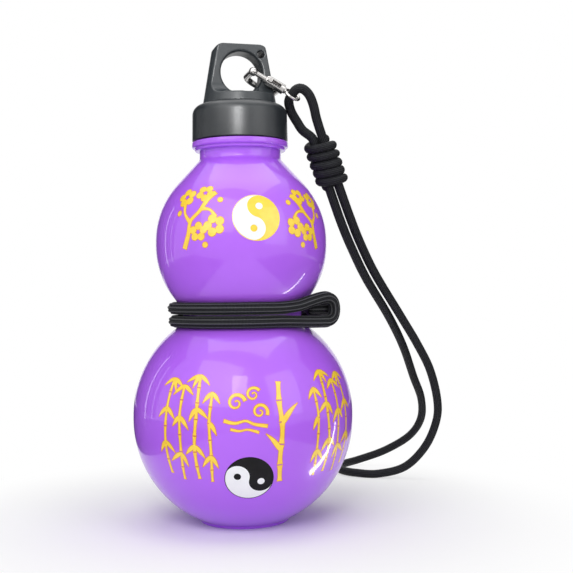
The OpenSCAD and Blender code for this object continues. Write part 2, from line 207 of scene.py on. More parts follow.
class Nodes(Tree):
    """A material's node tree, with the few steps that the finishes share."""

    def __init__(self, name: str) -> None:
        """Starts a material of a name with a Principled shader."""
        self.material = bpy.data.materials.new(name)
        self.material.use_nodes = True
        super().__init__(self.material.node_tree)
        self.shader = self.node("Principled BSDF")

    def noise(self, vector, scale: float, detail: float = 2.0,
              roughness: float = 0.5) -> bpy.types.NodeSocket:
        """Adds a Noise Texture on a vector and returns its value."""
        inputs = {"Vector": vector, "Scale": scale, "Detail": detail, "Roughness": roughness}
        return self.add("ShaderNodeTexNoise", inputs).outputs["Fac"]

    def ramp(self, value, low: float, high: float, from_low: float = 0.0,
             from_high: float = 1.0) -> bpy.types.NodeSocket:
        """Maps a value from one range to another and returns it."""
        inputs = {"Value": value, "From Min": from_low, "From Max": from_high, "To Min": low, "To Max": high}
        return self.add("ShaderNodeMapRange", inputs).outputs["Result"]

    def blend(self, factor, first: Sequence[float], second: Sequence[float]) -> bpy.types.NodeSocket:
        """Blends two colours by a factor and returns the colour."""
        node = self.add("ShaderNodeMix", {"Factor": factor}, data_type="RGBA")
        colours = [socket for socket in node.inputs if socket.type == "RGBA"]
        for socket, value in zip(colours, (first, second)):
            self.feed(socket, value if isinstance(value, bpy.types.NodeSocket) else (*value, 1.0))
        return next(socket for socket in node.outputs if socket.type == "RGBA")

    def place(self) -> bpy.types.NodeSocket:
        """Object coordinates, which are the shared frame's on every piece."""
        return self.add("ShaderNodeTexCoord").outputs["Object"]

    def bump(self, height, strength: float, distance: float) -> None:
        """Feeds a height to the shader's normal."""
        inputs = {"Height": height, "Strength": strength, "Distance": distance}
        self.feed(self.shader.inputs["Normal"], self.add("ShaderNodeBump", inputs).outputs["Normal"])

    def set(self, **values) -> None:
        """Sets the shader's inputs by name, with underscores for spaces."""
        for key, value in values.items():
            self.feed(self.shader.inputs[key.replace("_", " ")], value)


@dataclass(frozen=True)
class Lacquer:
    """Glossy coloured plastic with a wet, lacquer-like skin."""

    colour: tuple[float, float, float] = (0.460, 0.130, 0.900)
    depth: tuple[float, float, float] = (0.415, 0.112, 0.860)
    roughness: float = 0.34
    spread: float = 0.03
    coat_roughness: float = 0.035
    drift_scale: float = 22.0
    gloss_scale: float = 900.0
    peel_scale: float = 420.0
    peel_depth: float = 0.00004

    def build(self) -> bpy.types.Material:
        """Returns the material, with slow colour drift and a faint orange peel."""
        nodes = Nodes("violet_lacquer")
        place = nodes.place()
        drift = nodes.noise(place, self.drift_scale, 3.0)
        gloss = nodes.noise(place, self.gloss_scale)
        nodes.set(Base_Color=nodes.blend(drift, self.colour, self.depth))
        nodes.set(Roughness=nodes.ramp(gloss, self.roughness - self.spread, self.roughness + self.spread))
        nodes.set(Coat_Weight=0.85, Coat_Roughness=self.coat_roughness, Coat_IOR=1.42, IOR=1.4)
        nodes.bump(nodes.noise(place, self.peel_scale, 1.0), 0.05, self.peel_depth)
        return nodes.material


@dataclass(frozen=True)
class MouldedPlastic:
    """Moulded plastic with a fine spark-eroded grain."""

    name: str
    colour: tuple[float, float, float]
    bright: tuple[float, float, float]
    roughness: float
    grain: float = 3200.0
    grain_depth: float = 0.00003
    wear_scale: float = 140.0
    spread: float = 0.09

    def build(self) -> bpy.types.Material:
        """Returns the material, with grain in its height, gloss and colour."""
        nodes = Nodes(self.name)
        place = nodes.place()
        grain = nodes.noise(place, self.grain, 3.0, 0.6)
        wear = nodes.noise(place, self.wear_scale, 4.0, 0.6)
        nodes.set(Base_Color=nodes.blend(nodes.ramp(wear, 0.0, 1.0, 0.3, 0.7), self.colour, self.bright))
        nodes.set(Roughness=nodes.ramp(grain, self.roughness - self.spread, self.roughness + self.spread,
                                       0.3, 0.7))
        nodes.set(Specular_IOR_Level=0.55)
        nodes.bump(grain, 0.35, self.grain_depth)
        return nodes.material


@dataclass(frozen=True)
class Metal:
    """Plated or drawn metal with fine scratches."""

    name: str
    colour: tuple[float, float, float]
    roughness: float
    cloud_scale: float = 500.0
    scratch_scale: float = 900.0
    scratch_stretch: float = 9.0
    scratch_depth: float = 0.00002

    def build(self) -> bpy.types.Material:
        """Returns the material, with a cloudy tint and fine scratches in gloss and height."""
        nodes = Nodes(self.name)
        place = nodes.place()
        cloud = nodes.noise(place, self.cloud_scale, 3.0)
        scale = (1.0, 1.0, self.scratch_stretch)
        stretched = nodes.add("ShaderNodeMapping", {"Vector": place, "Scale": scale}).outputs[0]
        lines = nodes.noise(stretched, self.scratch_scale, 2.0)
        dim = tuple(0.86 * channel for channel in self.colour)
        nodes.set(Base_Color=nodes.blend(cloud, dim, self.colour), Metallic=1.0)
        nodes.set(Roughness=nodes.ramp(lines, self.roughness * 0.6, self.roughness * 1.6, 0.3, 0.7))
        nodes.bump(lines, 0.10, self.scratch_depth)
        return nodes.material


@dataclass(frozen=True)
class Braid:
    """Braided black sleeve of a cord, drawn on the cord's own UV map."""

    name: str
    carriers: int
    pick: float
    relief: float
    colour: tuple[float, float, float] = (0.0040, 0.0042, 0.0050)
    # Lighter colour painted on the raised strands as a painted sheen.
    thread: tuple[float, float, float] = (0.030, 0.031, 0.036)
    ribs: int = 0
    # Pale colour of the painted highlight lines along the rib crests.
    rib_highlight_colour: tuple[float, float, float] = (0.135, 0.140, 0.145)
    rib_highlight_sharpness: float = 9.0
    yarns: float = 2.5
    fuzz_scale: float = 5200.0

    def build(self) -> bpy.types.Material:
        """Returns the material: two families of crossing strands with yarn lines, a painted sheen that
        lightens the raised strands, and painted highlight lines along the rib crests.
        """
        nodes = Nodes(self.name)
        uv = nodes.add("ShaderNodeSeparateXYZ", {0: nodes.add("ShaderNodeTexCoord").outputs["UV"]}).outputs
        round_part = nodes.math("MULTIPLY", uv[0], float(self.carriers))
        long_part = nodes.math("MULTIPLY", uv[1], self.pick)
        right = nodes.math("ADD", round_part, long_part)
        left = nodes.math("SUBTRACT", round_part, long_part)
        weave = nodes.math("MULTIPLY", nodes.math("SINE", nodes.math("MULTIPLY", right, math.tau)),
                           nodes.math("SINE", nodes.math("MULTIPLY", left, math.tau)))
        over = nodes.ramp(weave, 0.0, 1.0, -0.7, 0.7)
        yarn_run = nodes.math("MULTIPLY", right, math.tau * self.yarns)
        yarn = nodes.math("ABSOLUTE", nodes.math("SINE", yarn_run))
        fuzz = nodes.noise(nodes.place(), self.fuzz_scale, 2.0)
        height = nodes.math("ADD", nodes.math("MULTIPLY", over, 0.75), nodes.math("MULTIPLY", yarn, 0.25))
        sheen_mask = nodes.math("MULTIPLY", height, nodes.ramp(fuzz, 0.4, 1.2, 0.3, 0.7))
        # Painted highlight: thin pale lines along the rib crests on the raised strands, standing in for the
        # light that the ribs catch.
        round_ribs = nodes.math("MULTIPLY", uv[0], math.pi * self.ribs)
        crest = nodes.math("ABSOLUTE", nodes.math("COSINE", round_ribs))
        line = nodes.math("MULTIPLY", nodes.math("POWER", crest, self.rib_highlight_sharpness),
                          nodes.ramp(height, 0.25, 1.0))
        pale = nodes.math("MULTIPLY", line, 1.0 if self.ribs else 0.0)
        # Painted sheen: the raised strands take the lighter thread colour, standing in for the light they
        # catch.
        cloth = nodes.blend(sheen_mask, self.colour, self.thread)
        nodes.set(Base_Color=nodes.blend(pale, cloth, self.rib_highlight_colour))
        nodes.set(Roughness=nodes.ramp(height, 0.70, 0.42), Specular_IOR_Level=nodes.ramp(height, 0.02, 0.26))
        nodes.set(Sheen_Weight=0.02, Sheen_Roughness=0.4)
        nodes.bump(height, 0.9, self.relief)
        return nodes.material


@dataclass(frozen=True)
class Ink:
    """Screen-printed enamel ink."""

    name: str
    colour: tuple[float, float, float]
    shade: tuple[float, float, float]
    roughness: float = 0.28
    coat: float = 0.6
    specular: float = 0.5
    cloud_scale: float = 260.0
    skin_scale: float = 1500.0
    skin_depth: float = 0.00002

    def build(self) -> bpy.types.Material:
        """Returns the material, with a slightly uneven layer under a thin gloss."""
        nodes = Nodes(self.name)
        place = nodes.place()
        cloud = nodes.noise(place, self.cloud_scale, 4.0, 0.6)
        nodes.set(Base_Color=nodes.blend(nodes.ramp(cloud, 0.0, 1.0, 0.35, 0.65), self.colour, self.shade))
        nodes.set(Roughness=nodes.ramp(cloud, self.roughness, self.roughness + 0.08))
        nodes.set(Coat_Weight=self.coat, Coat_Roughness=0.05, Specular_IOR_Level=self.specular)
        nodes.bump(nodes.noise(place, self.skin_scale, 2.0), 0.06, self.skin_depth)
        return nodes.material


@dataclass(frozen=True)
class Silicone:
    """Soft white silicone rubber."""

    colour: tuple[float, float, float] = (0.78, 0.78, 0.76)
    shade: tuple[float, float, float] = (0.70, 0.70, 0.68)
    dust_scale: float = 1200.0
    dust_depth: float = 0.00002

    def build(self) -> bpy.types.Material:
        """Returns the material, with a dusty matt surface."""
        nodes = Nodes("seal_silicone")
        dust = nodes.noise(nodes.place(), self.dust_scale, 3.0)
        nodes.set(Base_Color=nodes.blend(dust, self.colour, self.shade))
        nodes.set(Roughness=nodes.ramp(dust, 0.5, 0.65))
        nodes.set(Subsurface_Weight=0.15, Subsurface_Radius=(2 * MM, 2 * MM, 2 * MM))
        nodes.bump(dust, 0.15, self.dust_depth)
        return nodes.material


class Palette:
    """Every finish of the bottle, each built once."""

    def __init__(self) -> None:
        """Builds the materials."""
        self.lacquer = Lacquer().build()
        self.cap = MouldedPlastic("cap_charcoal", (0.013, 0.016, 0.019), (0.019, 0.023, 0.027), 0.36).build()
        self.handle = MouldedPlastic("handle_charcoal", (0.022, 0.027, 0.031), (0.029, 0.035, 0.040),
                                     0.38).build()
        self.liner = MouldedPlastic("liner_pale", (0.70, 0.70, 0.68), (0.76, 0.76, 0.74), 0.30,
                                    1800.0, 0.00001).build()
        self.silicone = Silicone().build()
        self.nickel = Metal("nickel_plate", (0.50, 0.485, 0.475), 0.17).build()
        self.spring = Metal("spring_wire", (0.55, 0.55, 0.57), 0.28).build()
        self.waist_braid = Braid("waist_braid", 10, 5.0, 0.00030, ribs=9).build()
        self.lanyard_braid = Braid("lanyard_braid", 8, 5.0, 0.00016).build()
        self.gold = Ink("gold_ink", (0.98, 0.70, 0.050), (0.95, 0.62, 0.035)).build()
        self.amber = Ink("amber_edge_ink", (0.62, 0.17, 0.030), (0.72, 0.24, 0.05)).build()
        self.white = Ink("white_ink", (0.90, 0.91, 0.92), (0.86, 0.88, 0.90)).build()
        self.black = Ink("black_ink", (0.004, 0.004, 0.005), (0.007, 0.007, 0.008), 0.36, 0.1, 0.15).build()


def make_object(name: str, mesh_maker: bmesh.types.BMesh, sharp: float = 35.0) -> bpy.types.Object:
    """Turns a bmesh into a linked object with smooth shading and sharp creases.

    Args:
        name: Name of the piece.
        mesh_maker: The finished bmesh, which is freed.
        sharp: Angle in degrees above which an edge stays sharp.

    Returns:
        The new object, at the origin.
    """
    mesh = bpy.data.meshes.new(name)
    mesh_maker.to_mesh(mesh)
    mesh_maker.free()
    mesh.shade_smooth()
    mesh.set_sharp_from_angle(angle=math.radians(sharp))
    piece = bpy.data.objects.new(name, mesh)
    bpy.context.scene.collection.objects.link(piece)
    return piece


def dress(piece: bpy.types.Object, material: bpy.types.Material, body: Body,
          stands_for: Iterable[str] = ()) -> None:
    """Gives a piece its finish and the body it rides on.

    Args:
        piece: The finished piece.
        material: Its material.
        body: The body that carries it.
        stands_for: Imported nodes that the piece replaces.
    """
    piece.data.materials.clear()
    piece.data.materials.append(material)
    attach(piece, body.value)
    for node in stands_for:
        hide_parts(node)
    LOG.info("%s: %d faces on %s", piece.name, len(piece.data.polygons), body.value)


def lathe(outline: Sequence[Sequence[float]], segments: int, closed: bool = True) -> bmesh.types.BMesh:
    """Spins an outline round the Z axis.

    Args:
        outline: (radius, height) points, in order.
        segments: Steps round the axis.
        closed: Whether the last point joins the first.

    Returns:
        The bmesh of the turned shape.
    """
    maker = bmesh.new()
    verts = [maker.verts.new((point[0], 0.0, point[1])) for point in outline]
    pairs = list(zip(verts, verts[1:])) + ([(verts[-1], verts[0])] if closed else [])
    edges = [maker.edges.new(pair) for pair in pairs]
    bmesh.ops.spin(maker, geom=verts + edges, axis=(0, 0, 1), cent=(0, 0, 0), angle=math.tau,
                   steps=segments, use_merge=True)
    bmesh.ops.remove_doubles(maker, verts=maker.verts, dist=1e-7)
    bmesh.ops.recalc_face_normals(maker, faces=maker.faces)
    return maker


def fluted(radius: float) -> Callable[[float], float]:
    """Section of a braided sleeve with twelve faint flutes: its radius at an angle."""
    return lambda angle: radius * (1 - 0.018 * (1 - math.cos(12 * angle)))


def tube(path: Sequence[Vector], section: Callable[[float], float], sides: int, first: Vector,
         squash: Sequence[float] = (1.0, 1.0)) -> bmesh.types.BMesh:
    """Sweeps a closed section along a path, with UVs round and along it, in diameters.

    Args:
        path: Centre line of the tube.
        section: Radius of the section at each angle in radians.
        sides: Corners of the section.
        first: A direction across the tube at its start.
        squash: Share of the radius kept along the first direction and across it.

    Returns:
        The bmesh of the tube with rounded ends.
    """
    maker = bmesh.new()
    layer = maker.loops.layers.uv.new("UVMap")
    width = 2 * section(0.0)
    across = first
    rings, runs, walked = [], [], 0.0
    last = len(path) - 1
    tangents = [(path[min(i + 1, last)] - path[max(i - 1, 0)]).normalized() for i in range(last + 1)]
    caps = [(-0.42, 0.42), (-0.28, 0.78), (0.0, 1.0)]
    stations = [(0, shift, size) for shift, size in caps] + [(i, 0.0, 1.0) for i in range(1, last)]
    stations += [(last, -shift, size) for shift, size in reversed(caps)]
    previous = None
    for index, shift, size in stations:
        tangent = tangents[index]
        across = (across - tangent * across.dot(tangent)).normalized()
        side = tangent.cross(across)
        centre = path[index] + tangent * shift * width / 2
        walked += (centre - previous).length if previous is not None else 0.0
        previous = centre
        ring = []
        for corner in range(sides):
            angle = math.tau * corner / sides
            reach = section(angle) * size
            ring.append(maker.verts.new(centre + across * (reach * math.cos(angle) * squash[0])
                                        + side * (reach * math.sin(angle) * squash[1])))
        rings.append(ring)
        runs.append(walked / width)
    for lower, upper, v_low, v_high in zip(rings, rings[1:], runs, runs[1:]):
        for corner in range(sides):
            after = (corner + 1) % sides
            face = maker.faces.new((lower[corner], lower[after], upper[after], upper[corner]))
            places = ((corner, v_low), (corner + 1, v_low), (corner + 1, v_high), (corner, v_high))
            for loop, (u, v) in zip(face.loops, places):
                loop[layer].uv = (u / sides, v)
    maker.faces.new(list(reversed(rings[0])))
    maker.faces.new(rings[-1])
    return maker


@dataclass
class BottleBody:
    """The double bulb with its neck, rings, threaded mouth and foot."""

    bulb_r: float = 54.4 * MM
    bulb_z: float = 51.9 * MM
    bulb_belt: float = 1.6 * MM
    upper_r: float = 42.5 * MM
    bulb_pitch: float = 85.6 * MM
    upper_belt: float = 2.0 * MM
    waist_fillet: float = 8.0 * MM
    shoulder_angle: float = 43.0
    neck_r: float = 20.3 * MM
    neck_h: float = 4.6 * MM
    neck_fillet: float = 3.0 * MM
    wall: float = 2.0 * MM
    floor_t: float = 2.8 * MM
    foot_r: float = 22.0 * MM
    foot_recess: float = 1.0 * MM
    mouth_r: float = 17.0 * MM
    finish_r: float = 19.6 * MM
    finish_h: float = 13.8 * MM
    ring_r: float = 24.0 * MM
    ring_t: float = 3.0 * MM
    step_r: float = 22.6 * MM
    step_t: float = 1.4 * MM
    edge_round: float = 0.5 * MM
    foot_land: float = 7.4 * MM
    recess_round: float = 0.4 * MM
    neck_round: float = 0.3 * MM
    step_round: float = 0.2 * MM
    ring_low_round: float = 0.9 * MM
    ring_top_round: float = 0.6 * MM
    finish_bevel: float = 0.3 * MM
    thread_lift: float = 4.6 * MM
    segments: int = 192

    def __post_init__(self) -> None:
        """Works out the heights that follow from the sizes."""
        self.bulb_low = self.bulb_z - self.bulb_belt / 2
        self.bulb_high = self.bulb_z + self.bulb_belt / 2
        self.upper_z = self.bulb_z + self.bulb_pitch
        self.upper_low = self.upper_z - self.upper_belt / 2
        self.upper_high = self.upper_z + self.upper_belt / 2
        reach, climb = self.bulb_r + self.waist_fillet, self.upper_low - self.bulb_high
        other = self.upper_r + self.waist_fillet
        rise = (reach ** 2 - other ** 2 + climb ** 2) / (2 * climb)
        self.waist = Vector((math.sqrt(reach ** 2 - rise ** 2), self.bulb_high + rise))
        self.neck_z = self.shoulder_z(self.neck_r, 0.0)
        self.step_z = self.neck_z + self.neck_h
        self.ring_z = self.step_z + self.step_t
        self.finish_z = self.ring_z + self.ring_t
        self.lip_z = self.finish_z + self.finish_h

    def shoulder_z(self, radius: float, inset: float) -> float:
        """Height at which the sloping shoulder has a radius, on a wall inset by a thickness."""
        slope = math.radians(self.shoulder_angle)
        reach = self.upper_r - inset
        run = reach * math.cos(slope) - radius
        return self.upper_high + reach * math.sin(slope) + run / math.tan(slope)

    def gourd_curve(self, inset: float, start: float) -> list[Vector]:
        """Bulbs, waist and shoulder from the foot up.

        Args:
            inset: Thickness by which the wall is inset.
            start: Angle in degrees at which the lower bulb starts.

        Returns:
            Profile points from the foot to the shoulder.
        """
        low = math.degrees(math.atan2(self.waist[1] - self.bulb_high, self.waist[0]))
        high = math.degrees(math.atan2(self.upper_low - self.waist[1], self.waist[0]))
        return (arc((0, self.bulb_low), self.bulb_r - inset, start, 0, 40)
                + arc((0, self.bulb_high), self.bulb_r - inset, 0, low, 26)
                + arc(self.waist, self.waist_fillet + inset, 180 + low, 180 - high, 18)[1:]
                + arc((0, self.upper_low), self.upper_r - inset, -high, 0, 24)[1:]
                + arc((0, self.upper_high), self.upper_r - inset, 0, self.shoulder_angle, 22))

    def outline(self) -> list[Vector]:
        """The whole wall's outline, outside from the foot up and inside back down."""
        foot_wall = self.bulb_low - math.sqrt(self.bulb_r ** 2 - self.foot_r ** 2)
        touch = self.neck_fillet * math.tan(math.radians(90 - self.shoulder_angle) / 2)
        soft = self.edge_round
        land_r = self.foot_r - self.foot_land
        recess_r = land_r - self.foot_recess + self.recess_round
        outside = [Vector((0, self.foot_recess)), Vector((recess_r, self.foot_recess))]
        outside += rounded((land_r, 0), self.recess_round, 180, 4)
        outside += rounded((self.foot_r, 0), soft, -90, 5)
        outside += [Vector((self.foot_r, foot_wall))]
        outside += self.gourd_curve(0.0, -math.degrees(math.acos(self.foot_r / self.bulb_r)))
        outside += arc((self.neck_r + self.neck_fillet, self.neck_z + touch), self.neck_fillet,
                       270 - self.shoulder_angle, 180, 8)
        outside += rounded((self.neck_r, self.step_z), self.neck_round, 180, 3, -90)
        outside += rounded((self.step_r, self.step_z), soft, -90, 5)
        outside += rounded((self.step_r, self.ring_z), self.step_round, 180, 3, -90)
        outside += rounded((self.ring_r, self.ring_z), self.ring_low_round, -90, 7)
        outside += rounded((self.ring_r, self.finish_z), self.ring_top_round, 0, 6)
        outside += [Vector((self.finish_r + self.finish_bevel, self.finish_z)),
                    Vector((self.finish_r, self.finish_z + self.finish_bevel))]
        outside += rounded((self.finish_r, self.lip_z), soft, 0, 5)
        floor = -math.degrees(math.asin((self.bulb_low - self.floor_t) / (self.bulb_r - self.wall)))
        inside = rounded((self.mouth_r, self.lip_z), soft, 90, 5)
        inside += [Vector((self.mouth_r, self.shoulder_z(self.mouth_r, self.wall)))]
        inside += list(reversed(self.gourd_curve(self.wall, floor)))
        return outside + inside + [Vector((0, self.floor_t))]

    def build(self, palette: Palette) -> None:
        """Makes the bottle with its thread and dresses it."""
        maker = lathe(self.outline(), self.segments, closed=False)
        shell = make_object("bottle_body", maker, 32.0)
        dress(shell, palette.lacquer, Body.BOTTLE,
              ["lower_bulb", "upper_bulb", "threaded_mouth"])
        thread = Thread(self.finish_r, self.finish_z + self.thread_lift)
        dress(thread.build("mouth_thread"), palette.lacquer, Body.BOTTLE)


@dataclass
class Thread:
    """A rounded thread ridge wound round the Z axis, outwards or inwards."""

    wall_r: float
    base_z: float
    inward: bool = False
    root: float = 0.15 * MM
    height: float = 0.95 * MM
    width: float = 1.7 * MM
    pitch: float = 4.0 * MM
    turns: float = 1.45
    start: float = 20.0
    steps_per_turn: int = 72

    def build(self, name: str) -> bpy.types.Object:
        """Makes the ridge, which fades in and out over an eighth of a turn."""
        count = round(self.turns * self.steps_per_turn)
        way = -1 if self.inward else 1
        profile = ((-0.5, 0.0), (-0.28, 0.85), (-0.12, 1.0), (0.12, 1.0), (0.28, 0.85), (0.5, 0.0))
        maker = bmesh.new()
        rings = []
        for index in range(count + 1):
            turn = index / self.steps_per_turn
            angle = math.radians(self.start) + math.tau * turn
            fade = min(1.0, turn * 8, (self.turns - turn) * 8)
            rise = max(0.04, math.sin(fade * math.pi / 2)) * self.height * way
            z = self.base_z + self.pitch * turn
            ring = []
            for share, lift in profile:
                reach = self.wall_r - self.root * way + rise * lift
                spot = (reach * math.cos(angle), reach * math.sin(angle), z + share * self.width)
                ring.append(maker.verts.new(spot))
            rings.append(ring)
        for a, b in zip(rings, rings[1:]):
            for k in range(len(a)):
                after = (k + 1) % len(a)
                maker.faces.new((a[k], a[after], b[after], b[k]))
        maker.faces.new(rings[0])
        maker.faces.new(rings[-1])
        bmesh.ops.recalc_face_normals(maker, faces=maker.faces)
        return make_object(name, maker, 50.0)


@dataclass
class Cap:
    """The screw cap: skirt, liner, seal and carry handle."""

    bottle: BottleBody
    rim_gap: float = 0.4 * MM
    cap_r: float = 23.8 * MM
    cap_draft: float = 0.2 * MM
    cap_round: float = 5.0 * MM
    skirt_t: float = 1.9 * MM
    top_t: float = 1.9 * MM
    liner_t: float = 1.0 * MM
    liner_top: float = 1.5 * MM
    seal_t: float = 1.2 * MM
    fit: float = 0.05 * MM
    spigot_r: float = 12.0 * MM
    edge_round: float = 0.5 * MM
    liner_lift: float = 1.6 * MM
    liner_round: float = 0.3 * MM
    thread_lift: float = 2.6 * MM
    seal_lap: float = 0.6 * MM
    seal_gap: float = 0.3 * MM
    seal_round: float = 0.35 * MM
    handle_voxel: float = 0.34 * MM
    handle_rounds: int = 6
    segments: int = 160

    def __post_init__(self) -> None:
        """Works out the heights that follow from the bottle's."""
        self.rim_z = self.bottle.finish_z + self.rim_gap
        self.seal_z = self.bottle.lip_z + self.fit
        self.liner_z = self.seal_z + self.seal_t + self.fit
        self.inner_top = self.liner_z + self.liner_top + self.fit
        self.top = self.inner_top + self.top_t
        self.bore_r = self.cap_r - self.skirt_t
        self.liner_r = self.bore_r - self.fit
        self.thread_r = self.liner_r - self.liner_t

    def build_skirt(self, palette: Palette) -> None:
        """Makes the charcoal skirt with its rounded shoulder."""
        soft = self.edge_round
        hole_r = self.spigot_r + self.fit
        outline = [Vector((hole_r, self.top)), Vector((hole_r, self.inner_top)),
                   Vector((self.bore_r, self.inner_top))]
        outline += rounded((self.bore_r, self.rim_z), soft, 180, 4)
        outline += rounded((self.cap_r, self.rim_z), soft, -90, 5)
        outline += rounded((self.cap_r - self.cap_draft, self.top), self.cap_round, 0, 18)
        skirt = make_object("cap_skirt", lathe(outline, self.segments), 32.0)
        dress(skirt, palette.cap, Body.CAP, ["cap_shell"])

    def build_liner(self, palette: Palette) -> None:
        """Makes the pale threaded liner and its thread."""
        base = self.rim_z + self.liner_lift
        top = self.liner_z + self.liner_top
        outline = [Vector((0, self.liner_z)), Vector((self.thread_r, self.liner_z))]
        for tip, start in (((self.thread_r, base), 180), ((self.liner_r, base), -90),
                           ((self.liner_r, top), 0)):
            outline += rounded(tip, self.liner_round, start, 3)
        outline += [Vector((0, top))]
        liner = make_object("cap_liner_cup", lathe(outline, self.segments, closed=False), 32.0)
        dress(liner, palette.liner, Body.CAP, ["cap_liner"])
        thread = Thread(self.thread_r, self.bottle.finish_z + self.thread_lift, inward=True)
        dress(thread.build("liner_thread"), palette.liner, Body.CAP)

    def build_seal(self, palette: Palette) -> None:
        """Makes the silicone sealing ring."""
        inner, outer = self.bottle.mouth_r - self.seal_lap, self.thread_r - self.seal_gap
        low, high = self.seal_z, self.seal_z + self.seal_t
        outline = []
        for tip, start in (((inner, low), 180), ((outer, low), 270), ((outer, high), 0), ((inner, high), 90)):
            outline += rounded(tip, self.seal_round, start, 4)
        seal = make_object("seal_gasket", lathe(outline, self.segments), 40.0)
        dress(seal, palette.silicone, Body.SEAL, ["seal_ring"])

    def build_handle(self, palette: Palette) -> None:
        """Makes the handle as one soft-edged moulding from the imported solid's shape."""
        handle = soft_copy("cap_handle", "carry_handle", self.handle_voxel, self.handle_rounds)
        dress(handle, palette.handle, Body.CAP, ["cap_handle"])

    def build(self, palette: Palette) -> None:
        """Makes and dresses the cap's pieces."""
        self.build_skirt(palette)
        self.build_liner(palette)
        self.build_seal(palette)
        self.build_handle(palette)


def soft_copy(node: str, name: str, voxel: float, rounds: int) -> bpy.types.Object:
    """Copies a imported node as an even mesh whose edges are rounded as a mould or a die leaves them.

    Args:
        node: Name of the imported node.
        name: Name of the new piece.
        voxel: Size of the even mesh's cells.
        rounds: Passes of smoothing.

    Returns:
        The new piece, at the origin.
    """
    maker = bmesh.new()
    maker.from_mesh(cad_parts[node].data)
    bmesh.ops.remove_doubles(maker, verts=maker.verts, dist=1e-6)
    piece = make_object(name, maker, 180.0)
    even = piece.modifiers.new("even", "REMESH")
    even.mode = "VOXEL"
    even.voxel_size = voxel
    even.use_smooth_shade = True
    relax = piece.modifiers.new("relax", "CORRECTIVE_SMOOTH")
    relax.factor = 0.5
    relax.iterations = rounds
    relax.smooth_type = "LENGTH_WEIGHTED"
    relax.use_only_smooth = True
    apply_modifiers(piece)
    return piece


def apply_modifiers(piece: bpy.types.Object) -> None:
    """Replaces a piece's mesh by its mesh with the modifiers applied."""
    graph = bpy.context.evaluated_depsgraph_get()
    finished = bpy.data.meshes.new_from_object(piece.evaluated_get(graph))
    piece.modifiers.clear()
    piece.data = finished
    piece.data.shade_smooth()


@dataclass
class SnapHook:
    """The bolt snap and its swivel eye."""

    voxel: float = 0.14 * MM

    def build(self, palette: Palette) -> None:
        """Makes the plated pieces with soft cast edges, and dresses the spring."""
        for node, name, body, rounds in (("hook_body", "snap_hook", Body.CAP, 3),
                                         ("hook_bolt", "thumb_bolt", Body.BOLT, 2),
                                         ("swivel_eye", "swivel_ring", Body.EYE, 2)):
            piece = soft_copy(node, name, self.voxel, rounds)
            dress(piece, palette.nickel, body, [node])
        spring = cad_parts["bolt_spring"]
        spring.data.materials.clear()
        spring.data.materials.append(palette.spring)


